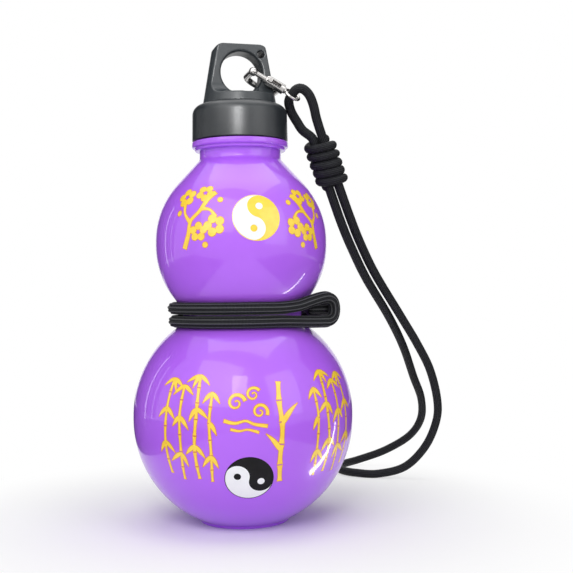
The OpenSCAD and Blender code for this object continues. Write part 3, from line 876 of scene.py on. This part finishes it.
@dataclass
class Lanyard:
    """The small loop, the barrel knot and the long loop."""

    cord_d: float = 4.8 * MM
    wrap_d: float = 4.8 * MM
    wrap_turns: float = 5.5
    wrap_half_w: float = 6.0 * MM
    wrap_half_t: float = 4.3 * MM
    wrap_squash: tuple[float, float] = (1.04, 0.92)
    steps_per_turn: int = 48
    cord_step: float = 1.3 * MM
    knot_top: Vector = field(default_factory=lambda: Vector((38.6, 5, 191.6)) * MM)
    knot_foot: Vector = field(default_factory=lambda: Vector((47.8, 12, 165)) * MM)

    def __post_init__(self) -> None:
        """Works out the knot's own directions."""
        self.axis = (self.knot_foot - self.knot_top).normalized()
        right = Vector((1, 0, 0))
        self.side = (right - self.axis * right.dot(self.axis)).normalized()
        self.back = self.axis.cross(self.side)
        self.half_gap = self.side * (self.cord_d / 2 + 0.1 * MM)
        self.tuck = self.axis * 5 * MM

    def loop_route(self) -> list[Vector]:
        """Route of the small loop through the swivel eye, from the knot and back."""
        points = [(31.4, 4.8, 194.8), (28.4, 4.4, 199.4), (26, 3.4, 203.4), (24.8, 1.4, 206.8),
                  (24.7, -1.1, 209.2), (26.3, -2.5, 211.4), (27.9, -3.9, 213.4), (30.2, -4.4, 214.2),
                  (32.8, -3.8, 213.2), (35.2, -2.6, 210.4), (37, -1, 205.8), (38.4, 1.4, 200)]
        middle = [Vector(point) * MM for point in points]
        start, end = self.knot_top - self.half_gap, self.knot_top + self.half_gap
        return [start + self.tuck, start, *middle, end, end + self.tuck]

    def strand_route(self) -> list[Vector]:
        """Route of the long loop, from the knot down to the floor, round and back up."""
        points = [(56, 22, 151.4), (62, 32, 138.2), (71, 45.6, 121.8), (86.6, 62, 98), (96.4, 70, 82.4),
                  (104.7, 78, 66.7), (109.7, 85, 48.4), (109.7, 91, 35), (103.7, 96, 19.5), (92, 100, 7),
                  (76, 102, 2.6), (63, 106, 2.6), (55, 115, 2.6), (54, 127, 2.6), (58, 138, 2.6),
                  (68, 145, 4), (84.3, 143, 10), (99, 136, 20), (105.4, 127, 32), (104.4, 116, 46),
                  (98, 102, 61), (90, 83, 80), (80, 64, 98), (66, 45.6, 119.6), (57.4, 32, 135.6),
                  (51.4, 22, 148.6)]
        middle = [Vector(point) * MM for point in points]
        start, end = self.knot_foot + self.half_gap, self.knot_foot - self.half_gap
        return [start - self.tuck, start, *middle, end, end - self.tuck]

    def build_cord(self, name: str, route: list[Vector], node: str, palette: Palette) -> None:
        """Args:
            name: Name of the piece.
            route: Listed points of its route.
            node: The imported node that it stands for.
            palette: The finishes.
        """
        path = resample(smooth_path(route, 12), self.cord_step)
        piece = make_object(name, tube(path, fluted(self.cord_d / 2), 36, self.back), 60.0)
        dress(piece, palette.lanyard_braid, Body.CAP, [node])

    def build_knot(self, palette: Palette) -> None:
        """Makes the barrel knot: one cord wound round the strands, its ends tucked in."""
        run = (self.knot_foot - self.knot_top).length - self.wrap_d
        count = round(self.wrap_turns * self.steps_per_turn)
        path = []
        for index in range(count + 1):
            turn = index / self.steps_per_turn
            angle = math.tau * turn
            along = self.wrap_d / 2 + run * turn / self.wrap_turns
            ends = min(1.0, 0.35 + 4 * min(turn, self.wrap_turns - turn))
            path.append(self.knot_top + self.axis * along
                        + self.side * (self.wrap_half_w * ends * math.cos(angle))
                        - self.back * (self.wrap_half_t * ends * math.sin(angle)))
        maker = tube(path, fluted(self.wrap_d / 2), 30, self.axis, squash=self.wrap_squash)
        knot = make_object("barrel_knot", maker, 60.0)
        dress(knot, palette.lanyard_braid, Body.CAP, ["lanyard_knot"])

    def build(self, palette: Palette) -> None:
        """Makes the lanyard's cords and knot."""
        self.build_cord("lanyard_small_loop", self.loop_route(), "lanyard_loop", palette)
        self.build_cord("lanyard_long_loop", self.strand_route(), "lanyard_strands", palette)
        self.build_knot(palette)


@dataclass
class WaistCord:
    """The thick ribbed cord round the waist, with its bight and tucked end."""

    bottle: BottleBody
    cord_d: float = 6.0 * MM
    seat_gap: float = 0.3 * MM
    low_drop: float = 3.1 * MM
    turn_gap: float = 0.45 * MM
    ribs: int = 9
    rib_depth: float = 0.2
    rib_crest: float = 0.7
    cord_step: float = 1.1 * MM

    def route(self) -> list[Vector]:
        """Route of the cord, from its hidden end round the waist, through the bight and back."""
        radius = self.cord_d / 2
        bottle = self.bottle
        off = radius + self.seat_gap
        low_z = bottle.waist[1] - self.low_drop
        high_z = low_z + self.cord_d + self.turn_gap
        low_r = math.sqrt((bottle.bulb_r + off) ** 2 - (low_z - bottle.bulb_high) ** 2)
        high_r = math.sqrt((bottle.upper_r + off) ** 2 - (bottle.upper_low - high_z) ** 2)
        band_r = max(low_r, high_r)

        def point(reach: float, angle: float, z: float) -> Vector:
            """A point at a radius, an angle in degrees and a height."""
            turn = math.radians(angle)
            return Vector((reach * math.cos(turn), reach * math.sin(turn), z))

        upper = [point(high_r, angle, high_z) for angle in range(10, 305, 14)]
        bight = [(1.2, 320, high_z, 0.8), (4.2, 331, high_z, 2.8), (7.4, 339.5, high_z, 4.3),
                 (9.6, 344.8, high_z, 4.4), (11.6, 348.2, high_z, 2.6), (12.3, 349.2, high_z, -1.2),
                 (11.6, 348.2, low_z, 1.3), (9.6, 344.8, low_z, -0.6), (7.4, 339.5, low_z, -0.7),
                 (4.0, 331, low_z, -0.6), (1.0, 320, low_z, -0.3)]
        lower = [point(low_r, angle, low_z) for angle in range(304, 51, -14)]
        tail = [(5.0, 30, 1.6), (8.4, 18, 3.6), (9.8, 7, 4.9), (8.2, 356.5, 5.2), (4.2, 346, 5.2),
                (1.4, 339, 5.2)]
        return (upper + [point(band_r + out * MM, angle, z + up * MM) for out, angle, z, up in bight]
                + lower + [point(low_r + 1.4 * MM, 42, low_z)]
                + [point(band_r + out * MM, angle, low_z + up * MM) for out, angle, up in tail])

    def section(self, angle: float) -> float:
        """Radius of the cord at an angle round it, with its lengthwise ribs."""
        valley = 1 - abs(math.cos(self.ribs * angle / 2)) ** self.rib_crest
        return self.cord_d / 2 * (1 - self.rib_depth * valley)

    def build(self, palette: Palette) -> None:
        """Makes and dresses the cord."""
        path = resample(smooth_path(self.route(), 8), self.cord_step)
        piece = make_object("waist_wrap", tube(path, self.section, 88, Vector((0, 0, 1))), 70.0)
        dress(piece, palette.waist_braid, Body.BOTTLE, ["waist_cord"])


@dataclass(frozen=True)
class Patch:
    """A tangent patch of a bulb on which a print is drawn, in metres."""

    bulb_z: float
    bulb_r: float
    belt: float
    azimuth: float
    elevation: float

    def place(self, x: float, y: float, lift: float) -> Vector:
        """Puts a point of the drawing on the bulb.

        Args:
            x: Distance to the right of the patch's middle.
            y: Distance above it.
            lift: Height over the surface.

        Returns:
            The point in the shared frame.
        """
        turn, tilt = math.radians(self.azimuth), math.radians(self.elevation)
        normal = Vector((math.cos(tilt) * math.sin(turn), -math.cos(tilt) * math.cos(turn), math.sin(tilt)))
        right = Vector((math.cos(turn), math.sin(turn), 0))
        up = normal.cross(right)
        ray = (normal + right * (x / self.bulb_r) + up * (y / self.bulb_r)).normalized()
        run = math.asin(ray.z) * self.bulb_r
        half = self.belt / 2
        angle = math.copysign(max(0.0, abs(run) - half) / self.bulb_r, run)
        height = max(-half, min(half, run)) + (self.bulb_r + lift) * math.sin(angle)
        reach = (self.bulb_r + lift) * math.cos(angle)
        flat = Vector((ray.x, ray.y)).normalized()
        return Vector((flat.x * reach, flat.y * reach, self.bulb_z + height))


Curve = Callable[[float], Vector]


class Drawing:
    """A flat print made of lofts between pairs of curves, then laid on a bulb as thin ink."""

    stroke_cell = 0.7 * MM
    disc_cell = 1.5 * MM
    disc_sides = 48

    def __init__(self) -> None:
        """Starts an empty drawing."""
        self.maker = bmesh.new()

    def loft(self, first: Curve, second: Curve, along: int, across: int) -> None:
        """Fills between two curves.

        Args:
            first: One side, as a function of 0 to 1.
            second: The other side.
            along: Cells along the curves.
            across: Cells between them.
        """
        made = bmesh.ops.create_grid(self.maker, x_segments=along, y_segments=across, size=1.0)
        for vert in made["verts"]:
            run, share = (vert.co.x + 1) / 2, (vert.co.y + 1) / 2
            spot = first(run).lerp(second(run), share)
            vert.co = (spot.x, spot.y, 0.0)

    def stroke(self, spine: Sequence[Vector], widths: Callable[[float], float], grow: float = 0.0) -> None:
        """Draws a brush stroke along a spine.

        Args:
            spine: Points of the stroke's middle.
            widths: Width at a share of its length.
            grow: Extra width on each side and at both ends.
        """
        steps = max(6, round(path_length(spine) / self.stroke_cell))
        points = resample(spine, path_length(spine) / steps)
        start = points[0] - (points[1] - points[0]).normalized() * grow
        end = points[-1] + (points[-1] - points[-2]).normalized() * grow
        points = [start, *points[1:-1], end]
        count = len(points) - 1

        def side(sign: float) -> Curve:
            """One edge of the stroke."""
            def edge(share: float) -> Vector:
                """The edge's point at a share of the length."""
                index = min(count, max(0, round(share * count)))
                ahead = points[min(index + 1, count)] - points[max(index - 1, 0)]
                out = Vector((-ahead.y, ahead.x)).normalized()
                return points[index] + out * sign * (widths(share) / 2 + grow)
            return edge

        self.loft(side(-1), side(1), count, 2)

    def disc(self, middle: Vector, radius: float, inner: float = 0.0) -> None:
        """Draws a disc, or a ring where inner is over 0."""
        rings = max(2, round((radius - inner) / self.disc_cell))

        def circle(reach: float) -> Curve:
            """A circle of a radius about the middle."""
            def spot(share: float) -> Vector:
                """The circle's point at a share of the turn."""
                angle = math.tau * share
                return middle + Vector((math.cos(angle), math.sin(angle))) * reach
            return spot

        self.loft(circle(radius), circle(inner), self.disc_sides, rings)

    def finish(self, name: str, patch: Patch, low: float, high: float) -> bpy.types.Object:
        """Gives the drawing its thickness and lays it on the bulb.

        Args:
            name: Name of the piece.
            patch: Where it goes.
            low: Depth of its underside below the surface, as a negative lift.
            high: Lift of its top.

        Returns:
            The new piece.
        """
        maker = self.maker
        bmesh.ops.remove_doubles(maker, verts=maker.verts, dist=1e-7)
        bmesh.ops.dissolve_degenerate(maker, edges=maker.edges, dist=1e-8)
        for face in maker.faces:
            if face.normal.z < 0:
                face.normal_flip()
        top = bmesh.ops.extrude_face_region(maker, geom=list(maker.faces))
        raised = [item for item in top["geom"] if isinstance(item, bmesh.types.BMVert)]
        for vert in maker.verts:
            vert.co.z = low
        for vert in raised:
            vert.co.z = high
        for vert in maker.verts:
            vert.co = patch.place(vert.co.x, vert.co.y, vert.co.z)
        bmesh.ops.recalc_face_normals(maker, faces=maker.faces)
        return make_object(name, maker, 60.0)


class Layer(Enum):
    """Lifts of the print's layers over the bottle's skin, in metres: underside and top."""

    EDGE = (-0.05 * MM, 0.025 * MM)
    FILL = (-0.04 * MM, 0.05 * MM)
    MARK = (-0.03 * MM, 0.075 * MM)


@dataclass
class TaijiDisc:
    """A round two-part sign with its two dots."""

    name: str
    patch: Patch
    radius: float
    turn: float
    dark: bpy.types.Material
    light: bpy.types.Material
    rim: Optional[bpy.types.Material] = None
    mirror: bool = False
    dot_share: float = 0.15
    rim_out: float = 0.30 * MM
    rim_in: float = 0.05 * MM

    def spin(self, x: float, y: float) -> Vector:
        """A point of the upright sign, mirrored where it is and turned with it."""
        angle = math.radians(self.turn)
        x = -x if self.mirror else x
        return Vector((x * math.cos(angle) - y * math.sin(angle), x * math.sin(angle) + y * math.cos(angle)))

    def half(self, sign: float) -> Drawing:
        """One of the two equal parts, on the right where sign is 1."""
        drawing = Drawing()

        def rim(share: float) -> Vector:
            """The outer half circle from the top down."""
            angle = math.pi * (0.5 - share * sign)
            return self.spin(self.radius * math.cos(angle), self.radius * math.sin(angle))

        def wave(share: float) -> Vector:
            """The S-shaped line from the top down, through the middle."""
            small = self.radius / 2
            if share <= 0.5:
                angle = math.pi * (0.5 + 2 * share)
                return self.spin(small * math.cos(angle), small + small * math.sin(angle))
            angle = math.pi * (0.5 - (2 * share - 1))
            return self.spin(small * math.cos(angle), -small + small * math.sin(angle))

        drawing.loft(rim, wave, 64, 10)
        return drawing

    def build(self) -> None:
        """Makes the two parts, their dots and the rim."""
        dot = self.radius * self.dot_share
        small = self.radius / 2
        parts = [("right", self.half(1.0), self.dark, Layer.FILL),
                 ("left", self.half(-1.0), self.light, Layer.FILL)]
        for label, y, ink in (("upper_dot", small, self.light), ("lower_dot", -small, self.dark)):
            drawing = Drawing()
            drawing.disc(self.spin(0.0, y), dot)
            parts.append((label, drawing, ink, Layer.MARK))
        if self.rim:
            drawing = Drawing()
            drawing.disc(Vector((0.0, 0.0)), self.radius + self.rim_out, self.radius - self.rim_in)
            parts.append(("rim", drawing, self.rim, Layer.MARK))
        for label, drawing, ink, layer in parts:
            piece = drawing.finish(f"{self.name}_{label}", self.patch, *layer.value)
            dress(piece, ink, Body.BOTTLE)


def curve_spine(points: Sequence[Sequence[float]]) -> list[Vector]:
    """A smooth flat spine through points given in millimetres."""
    return [Vector((p.x, p.y)) for p in smooth_path([(x * MM, y * MM, 0.0) for x, y in points], 10)]


@dataclass
class Sprig:
    """A traditional plant ornament: stems, leaves and blossoms in gold with a warm edge."""

    name: str
    patch: Patch
    mirror: bool = False
    edge: float = 0.30 * MM
    strokes: list[tuple[list[Vector], Callable[[float], float]]] = field(default_factory=list)
    discs: list[tuple[Vector, float]] = field(default_factory=list)

    def spot(self, x: float, y: float) -> Vector:
        """A point given in millimetres, mirrored left to right where the sprig is."""
        return Vector(((-x if self.mirror else x) * MM, y * MM))

    def flip(self, spine: list[Vector]) -> list[Vector]:
        """The spine, mirrored left to right where the sprig is."""
        return [Vector((-p.x, p.y)) for p in spine] if self.mirror else spine

    def stem(self, points: Sequence[Sequence[float]], width: float) -> None:
        """Adds a stem of nearly even width, in millimetres."""
        self.strokes.append((self.flip(curve_spine(points)),
                             lambda share: width * MM * (0.8 + 0.2 * math.cos(math.tau * share))))

    def leaf(self, x: float, y: float, heading: float, length: float, width: float, bend: float) -> None:
        """Adds a pointed leaf.

        Args:
            x: Start of the leaf, in millimetres.
            y: Start of the leaf, in millimetres.
            heading: Direction in degrees from the right.
            length: Length in millimetres.
            width: Greatest width in millimetres.
            bend: Change of direction along the leaf, in degrees.
        """
        points = [(x, y)]
        steps = 5
        for step in range(steps):
            angle = math.radians(heading + bend * (step + 0.5) / steps)
            points.append((points[-1][0] + length / steps * math.cos(angle),
                           points[-1][1] + length / steps * math.sin(angle)))

        def widths(share: float) -> float:
            """Width of the leaf, greatest before its middle."""
            return width * MM * math.sin(math.pi * min(1.0, share ** 0.62)) ** 0.9 + 0.05 * MM

        self.strokes.append((self.flip(curve_spine(points)), widths))

    def stalk(self, points: Sequence[Sequence[float]], width: float, joints: int) -> None:
        """Adds a jointed bamboo stalk, swollen at each joint."""
        spine = self.flip(curve_spine(points))
        total = path_length(spine)
        steps = 12
        even = resample(spine, total / (joints * steps))
        for joint in range(joints):
            part = even[joint * steps:(joint + 1) * steps]
            self.strokes.append((part, lambda share: width * MM * (0.80 + 0.35 * abs(2 * share - 1) ** 3)))

    def blossom(self, x: float, y: float, size: float, turn: float) -> None:
        """Adds a five-petalled blossom with an open heart."""
        petals, reach, petal_r = 5, 0.58 * size, 0.36 * size * MM
        for petal in range(petals):
            angle = math.radians(turn + 360 / petals * petal + 90)
            middle = self.spot(x + reach * math.cos(angle), y + reach * math.sin(angle))
            self.discs.append((middle, petal_r))

    def bud(self, x: float, y: float, size: float) -> None:
        """Adds a round bud."""
        self.discs.append((self.spot(x, y), size * MM))

    def ribbon(self, points: Sequence[Sequence[float]], width: float, taper: float) -> None:
        """Adds a scroll that narrows by a share towards its end."""
        self.strokes.append((self.flip(curve_spine(points)), lambda share: width * MM * (1 - taper * share)))

    def build(self, palette: Palette) -> None:
        """Makes the warm edge under the gold, and the gold."""
        for label, ink, grow, layer in (("edge", palette.amber, self.edge, Layer.EDGE),
                                        ("gold", palette.gold, 0.0, Layer.FILL)):
            drawing = Drawing()
            for spine, widths in self.strokes:
                drawing.stroke(spine, widths, grow)
            for middle, radius in self.discs:
                drawing.disc(middle, radius + grow)
            piece = drawing.finish(f"{self.name}_{label}", self.patch, *layer.value)
            dress(piece, ink, Body.BOTTLE)


@dataclass
class Ornaments:
    """The prints on both bulbs."""

    bottle: BottleBody

    def upper(self, azimuth: float, elevation: float) -> Patch:
        """A patch of the upper bulb."""
        return Patch(self.bottle.upper_z, self.bottle.upper_r, self.bottle.upper_belt, azimuth, elevation)

    def lower(self, azimuth: float, elevation: float) -> Patch:
        """A patch of the lower bulb."""
        return Patch(self.bottle.bulb_z, self.bottle.bulb_r, self.bottle.bulb_belt, azimuth, elevation)

    def bamboo(self, name: str, patch: Patch, mirror: bool) -> Sprig:
        """A stand of four bamboo stalks with leaves hanging from their joints."""
        sprig = Sprig(name, patch, mirror)
        sprig.stalk([(-11.5, -24), (-12.4, -8), (-11.6, 8), (-9.6, 25)], 1.5, 6)
        sprig.stalk([(-4.2, -27), (-3.4, -10), (-3.6, 6), (-2.4, 21)], 1.3, 6)
        sprig.stalk([(4.6, -26), (4.0, -9), (5.2, 8), (5.4, 27)], 1.5, 7)
        sprig.stalk([(11.4, -28), (12.2, -12), (11.6, 3), (12.8, 18)], 1.3, 6)
        for x, y, heading, length in ((-9.7, 24, -30, 8), (-9.9, 24, -62, 8), (-9.9, 24, 205, 7),
                                      (-11.5, 9, -40, 7.5), (-11.6, 9, 214, 7), (-12.3, -7, -36, 7.5),
                                      (-12.4, -7, 228, 7), (-2.5, 20, -34, 7), (-2.6, 20, 212, 7.5),
                                      (-3.5, 5, -44, 7.5), (-3.6, 5, 222, 6), (-3.4, -12, 208, 8),
                                      (-3.4, -12, -58, 7.5), (5.4, 26, -36, 7.5), (5.2, 26, 204, 8),
                                      (5.3, 26, 238, 8), (5.1, 9, -30, 7.5), (5.0, 9, 232, 7),
                                      (4.2, -8, -44, 8), (4.2, -8, 214, 6.5), (12.7, 17, -44, 6.5),
                                      (12.6, 17, 222, 7), (11.7, 3, -52, 7), (12.2, -13, 222, 7.5),
                                      (12.1, -13, -56, 7.5)):
            sprig.leaf(x, y, heading, length, 1.9, -16 if abs(heading) < 90 else 16)
        return sprig

    def plum(self, name: str, patch: Patch, mirror: bool, size: float) -> Sprig:
        """A branch of plum with blossoms and buds."""
        sprig = Sprig(name, patch, mirror)

        def at(points: Sequence[Sequence[float]]) -> list[tuple[float, float]]:
            """The points at the branch's size."""
            return [(x * size, y * size) for x, y in points]

        sprig.stem(at([(-7, -14), (-4.5, -7.5), (-3.6, -1.5), (0.5, 3), (3.6, 9), (6.5, 12.5)]), 2.4 * size)
        sprig.stem(at([(-3.8, -2), (-7.2, 2.2), (-8.2, 7.4)]), 1.7 * size)
        sprig.stem(at([(1.2, 4), (5.4, 3.4), (8.4, 0.2)]), 1.6 * size)
        for x, y, across, turn in ((-8.2, 10.6, 5.2, 10), (1.4, 12.0, 4.8, 40), (8.2, -3.6, 5.4, 22),
                                   (0.6, -6.4, 4.6, 0)):
            sprig.blossom(x * size, y * size, across * size, turn)
        for x, y in ((-10.8, 2.8), (9.4, 8.6), (4.2, -12.4)):
            sprig.bud(x * size, y * size, 1.3 * size)
        return sprig

    def cloud(self, name: str, patch: Patch) -> Sprig:
        """A bank of three scrolled clouds over a long trailing one."""
        sprig = Sprig(name, patch)
        for x, y, size, start in ((-5.2, 1.6, 4.2, 0.2), (2.6, 5.2, 3.4, 0.6), (5.4, -2.6, 3.8, -0.4)):
            scroll = [(x + size * (1 - t / 27) * math.cos(start + t * 0.36),
                       y + size * (1 - t / 27) * math.sin(start + t * 0.36)) for t in range(24)]
            sprig.ribbon(scroll, 1.5 * size / 4, 0.7)
        sprig.stem([(-11, -6.4), (-6, -7.6), (-1, -6.6), (3, -8.2), (9, -9.2)], 1.5)
        sprig.stem([(-8, -10.4), (-4, -11.2), (0, -10.6), (5, -12.0)], 1.1)
        return sprig

    def reed(self, name: str, patch: Patch) -> Sprig:
        """One tall reed with a pair of leaves."""
        sprig = Sprig(name, patch)
        sprig.stalk([(0.6, -25.5), (-0.4, -12), (0.4, 2), (-0.6, 14), (0, 25)], 2.3, 5)
        sprig.leaf(0.2, 3, 62, 13, 2.3, -26)
        sprig.leaf(-0.2, -9, 118, 11, 2.1, 24)
        return sprig

    def build(self, palette: Palette) -> None:
        """Makes and dresses every print."""
        TaijiDisc("upper_sign", self.upper(12.5, 14.6), 11.2 * MM, -15.6, palette.gold, palette.white,
                  palette.gold).build()
        TaijiDisc("lower_sign", self.lower(5.1, -24.4), 11.0 * MM, -104.2, palette.black, palette.white,
                  palette.black, mirror=True).build()
        self.plum("upper_left_plum", self.upper(-26.4, 15.0), False, 1.08).build(palette)
        self.plum("upper_right_plum", self.upper(51.0, 13.9), True, 1.02).build(palette)
        self.bamboo("lower_left_bamboo", self.lower(-26.0, 1.0), False).build(palette)
        self.bamboo("lower_right_bamboo", self.lower(54.0, 1.5), True).build(palette)
        self.cloud("lower_cloud", self.lower(4.6, 11.5)).build(palette)
        self.reed("lower_reed", self.lower(20.8, -1.2)).build(palette)


@dataclass
class PhotoCamera:
    """The camera that took the photograph, in the bottle's frame."""

    distance: float = 0.5
    side: float = 22.3 * MM
    height: float = 116.0 * MM
    lens: float = 62.8
    sensor: float = 36.0
    roll: float = 0.72

    def build(self) -> None:
        """Makes the camera and makes it the scene's."""
        data = bpy.data.cameras.new("camera")
        data.lens = self.lens
        data.sensor_width = self.sensor
        data.clip_start = 0.01
        camera = bpy.data.objects.new("camera", data)
        bpy.context.scene.collection.objects.link(camera)
        camera.matrix_world = (Matrix.Translation((self.side, -self.distance, self.height))
                               @ Matrix.Rotation(math.pi / 2, 4, "X")
                               @ Matrix.Rotation(-math.radians(self.roll), 4, "Z"))
        bpy.context.scene.camera = camera


@dataclass
class Studio:
    """A pale floor and soft boxes round the object."""

    centre: tuple[float, float, float] = (0.01, 0.0, 0.11)
    world_strength: float = 0.22
    floor_half: float = 3.0
    fade_start: float = 0.05
    fade_end: float = 0.19

    def area_lamp(self, name: str, matrix: Matrix, size: Sequence[float], power: float) -> bpy.types.Object:
        """Adds a rectangular lamp.

        Args:
            name: Name of the lamp.
            matrix: Its place and turn.
            size: Its width and height.
            power: Its power in watts.

        Returns:
            The lamp.
        """
        data = bpy.data.lights.new(name, "AREA")
        data.shape = "RECTANGLE"
        data.size, data.size_y = size
        data.energy = power
        lamp = bpy.data.objects.new(name, data)
        bpy.context.scene.collection.objects.link(lamp)
        lamp.matrix_world = matrix
        return lamp

    def soft_box(self, name: str, place: Sequence[float], size: Sequence[float], power: float) -> None:
        """Stands a lamp at a place, turned to the bottle."""
        aim = Vector(self.centre) - Vector(place)
        turn = aim.to_track_quat("-Z", "Y").to_matrix().to_4x4()
        self.area_lamp(name, Matrix.Translation(place) @ turn, size, power)

    def glint_strip(self, name: str, start: Vector, end: Vector, width: float,
                    power: float) -> bpy.types.Object:
        """Adds a lamp between two points that faces the bottle and only lights its gloss.

        Args:
            name: Name of the lamp.
            start: One end.
            end: The other end.
            width: Its width.
            power: Its power in watts.

        Returns:
            The lamp.
        """
        along = (end - start).normalized()
        middle = (start + end) / 2
        back = middle - Vector(self.centre)
        back = (back - along * back.dot(along)).normalized()
        turn = Matrix((along, back.cross(along), back)).transposed().to_4x4()
        lamp = self.area_lamp(name, Matrix.Translation(middle) @ turn, ((end - start).length, width), power)
        lamp.visible_camera = False
        lamp.visible_diffuse = False
        return lamp

    def white_to_eye(self, tree: Tree, shader: bpy.types.NodeSocket, white: str,
                     share=1.0) -> bpy.types.NodeSocket:
        """Shows plain white to the eye and to mirrors, and a given shader to everything else.

        Args:
            tree: The node tree.
            shader: What diffuse light sees.
            white: Type name of the node that makes the white.
            share: How much of the white shows.

        Returns:
            The mixed shader.
        """
        rays = tree.add("ShaderNodeLightPath").outputs
        seen = tree.math("MAXIMUM", rays["Is Camera Ray"], rays["Is Glossy Ray"])
        seen = tree.math("MAXIMUM", seen, rays["Is Transmission Ray"])
        inputs = {0: tree.math("MULTIPLY", seen, share), 1: shader,
                  2: tree.add(white, {"Color": (1, 1, 1, 1)}).outputs[0]}
        return tree.add("ShaderNodeMixShader", inputs).outputs[0]

    def build_world(self) -> None:
        """Sets a dim, even world behind a white background."""
        world = bpy.data.worlds.new("studio")
        bpy.context.scene.world = world
        world.use_nodes = True
        tree = Tree(world.node_tree)
        light = tree.node("Background")
        tree.feed(light.inputs["Color"], (0.94, 0.96, 1.0, 1.0))
        tree.feed(light.inputs["Strength"], self.world_strength)
        tree.feed(tree.node("World Output").inputs["Surface"],
                  self.white_to_eye(tree, light.outputs[0], "ShaderNodeBackground"))

    def build_floor(self) -> None:
        """Lays the pale floor, which runs out into the white background round the bottle."""
        maker = bmesh.new()
        bmesh.ops.create_grid(maker, x_segments=1, y_segments=1, size=self.floor_half)
        floor = make_object("floor", maker)
        nodes = Nodes("pale_floor")
        nodes.set(Base_Color=(0.92, 0.92, 0.92, 1.0), Roughness=0.9, Specular_IOR_Level=0.1)
        distance = nodes.add("ShaderNodeVectorMath", {0: nodes.place()}, operation="LENGTH").outputs["Value"]
        reach = {"Value": distance, "From Min": self.fade_start, "From Max": self.fade_end}
        fade = nodes.add("ShaderNodeMapRange", reach, interpolation_type="SMOOTHSTEP").outputs["Result"]
        nodes.feed(nodes.node("Material Output").inputs["Surface"],
                   self.white_to_eye(nodes, nodes.shader.outputs[0], "ShaderNodeEmission", fade))
        floor.data.materials.append(nodes.material)

    def build_flag(self, name: str, place: Sequence[float], size: Sequence[float],
                   facing: Vector, material: bpy.types.Material) -> None:
        """Stands one dark card, which only reflections see.

        Args:
            name: Name of the card.
            place: Where its middle stands.
            size: Half its width and half its height.
            facing: The way its face looks.
            material: Its finish.
        """
        maker = bmesh.new()
        bmesh.ops.create_grid(maker, x_segments=1, y_segments=1, size=1.0)
        matrix = (Matrix.Translation(place) @ facing.to_track_quat("Z", "Y").to_matrix().to_4x4()
                  @ Matrix.Diagonal((size[0], size[1], 1.0, 1.0)))
        bmesh.ops.transform(maker, matrix=matrix, verts=maker.verts)
        card = make_object(name, maker)
        card.data.materials.append(material)
        card.visible_camera = False
        card.visible_diffuse = False
        card.visible_shadow = False

    def build_flags(self) -> None:
        """Stands dark cards beside and behind the bottle and lays two on the floor."""
        nodes = Nodes("dark_card")
        nodes.set(Base_Color=(0.03, 0.03, 0.035, 1.0), Roughness=1.0, Specular_IOR_Level=0.0)
        for side, reach in (("left", -0.70), ("right", 0.74)):
            place = Vector((reach, 0.50, 0.3))
            self.build_flag(f"{side}_card", place, (0.50, 0.62), Vector(self.centre) - place, nodes.material)
            self.build_flag(f"{side}_floor_card", (0.6 * reach, 0.16, 0.001), (0.30, 0.55),
                            Vector((0, 0, 1)), nodes.material)

    def build(self) -> None:
        """Sets up the floor, the world and the lamps."""
        self.build_world()
        self.build_floor()
        self.build_flags()
        for name, place, size, power in (("key_box", (-0.55, -0.95, 0.85), (1.1, 1.1), 8.0),
                                         ("front_box", (-0.02, -0.85, 0.66), (0.26, 0.34), 1.6),
                                         ("fill_box", (0.85, -0.75, 0.55), (0.7, 0.9), 3.4),
                                         ("top_box", (0.02, 0.05, 0.95), (0.9, 0.7), 3.8),
                                         ("left_strip", (-0.52, 0.24, 0.20), (0.018, 0.42), 0.09),
                                         ("far_left_strip", (-0.60, 0.12, 0.20), (0.012, 0.42), 0.05)):
            self.soft_box(name, place, size, power)
        self.glint_strip("right_glint", Vector((0.060, -0.034, 0.004)), Vector((0.26, 0.055, 0.022)),
                         0.006, 0.07)
        glint = self.glint_strip("cap_glint", Vector((-0.03, -0.80, 0.24)), Vector((-0.03, -0.80, 0.50)),
                                 0.22, 5.5)
        lit = bpy.data.collections.new("lit_by_cap_glint")
        for name in ("cap_skirt", "carry_handle"):
            lit.objects.link(bpy.data.objects[name])
        glint.light_linking.receiver_collection = lit


def main() -> None:
    """Builds every sub-assembly in order."""
    logging.basicConfig(level=logging.INFO, format="%(message)s")
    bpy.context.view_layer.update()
    PhotoCamera().build()
    palette = Palette()
    Lanyard().build(palette)
    bottle = BottleBody()
    WaistCord(bottle).build(palette)
    bottle.build(palette)
    Cap(bottle).build(palette)
    SnapHook().build(palette)
    Ornaments(bottle).build(palette)
    Studio().build()
    bpy.context.scene.view_settings.view_transform = "Standard"


if __name__ == "__main__":
    main()
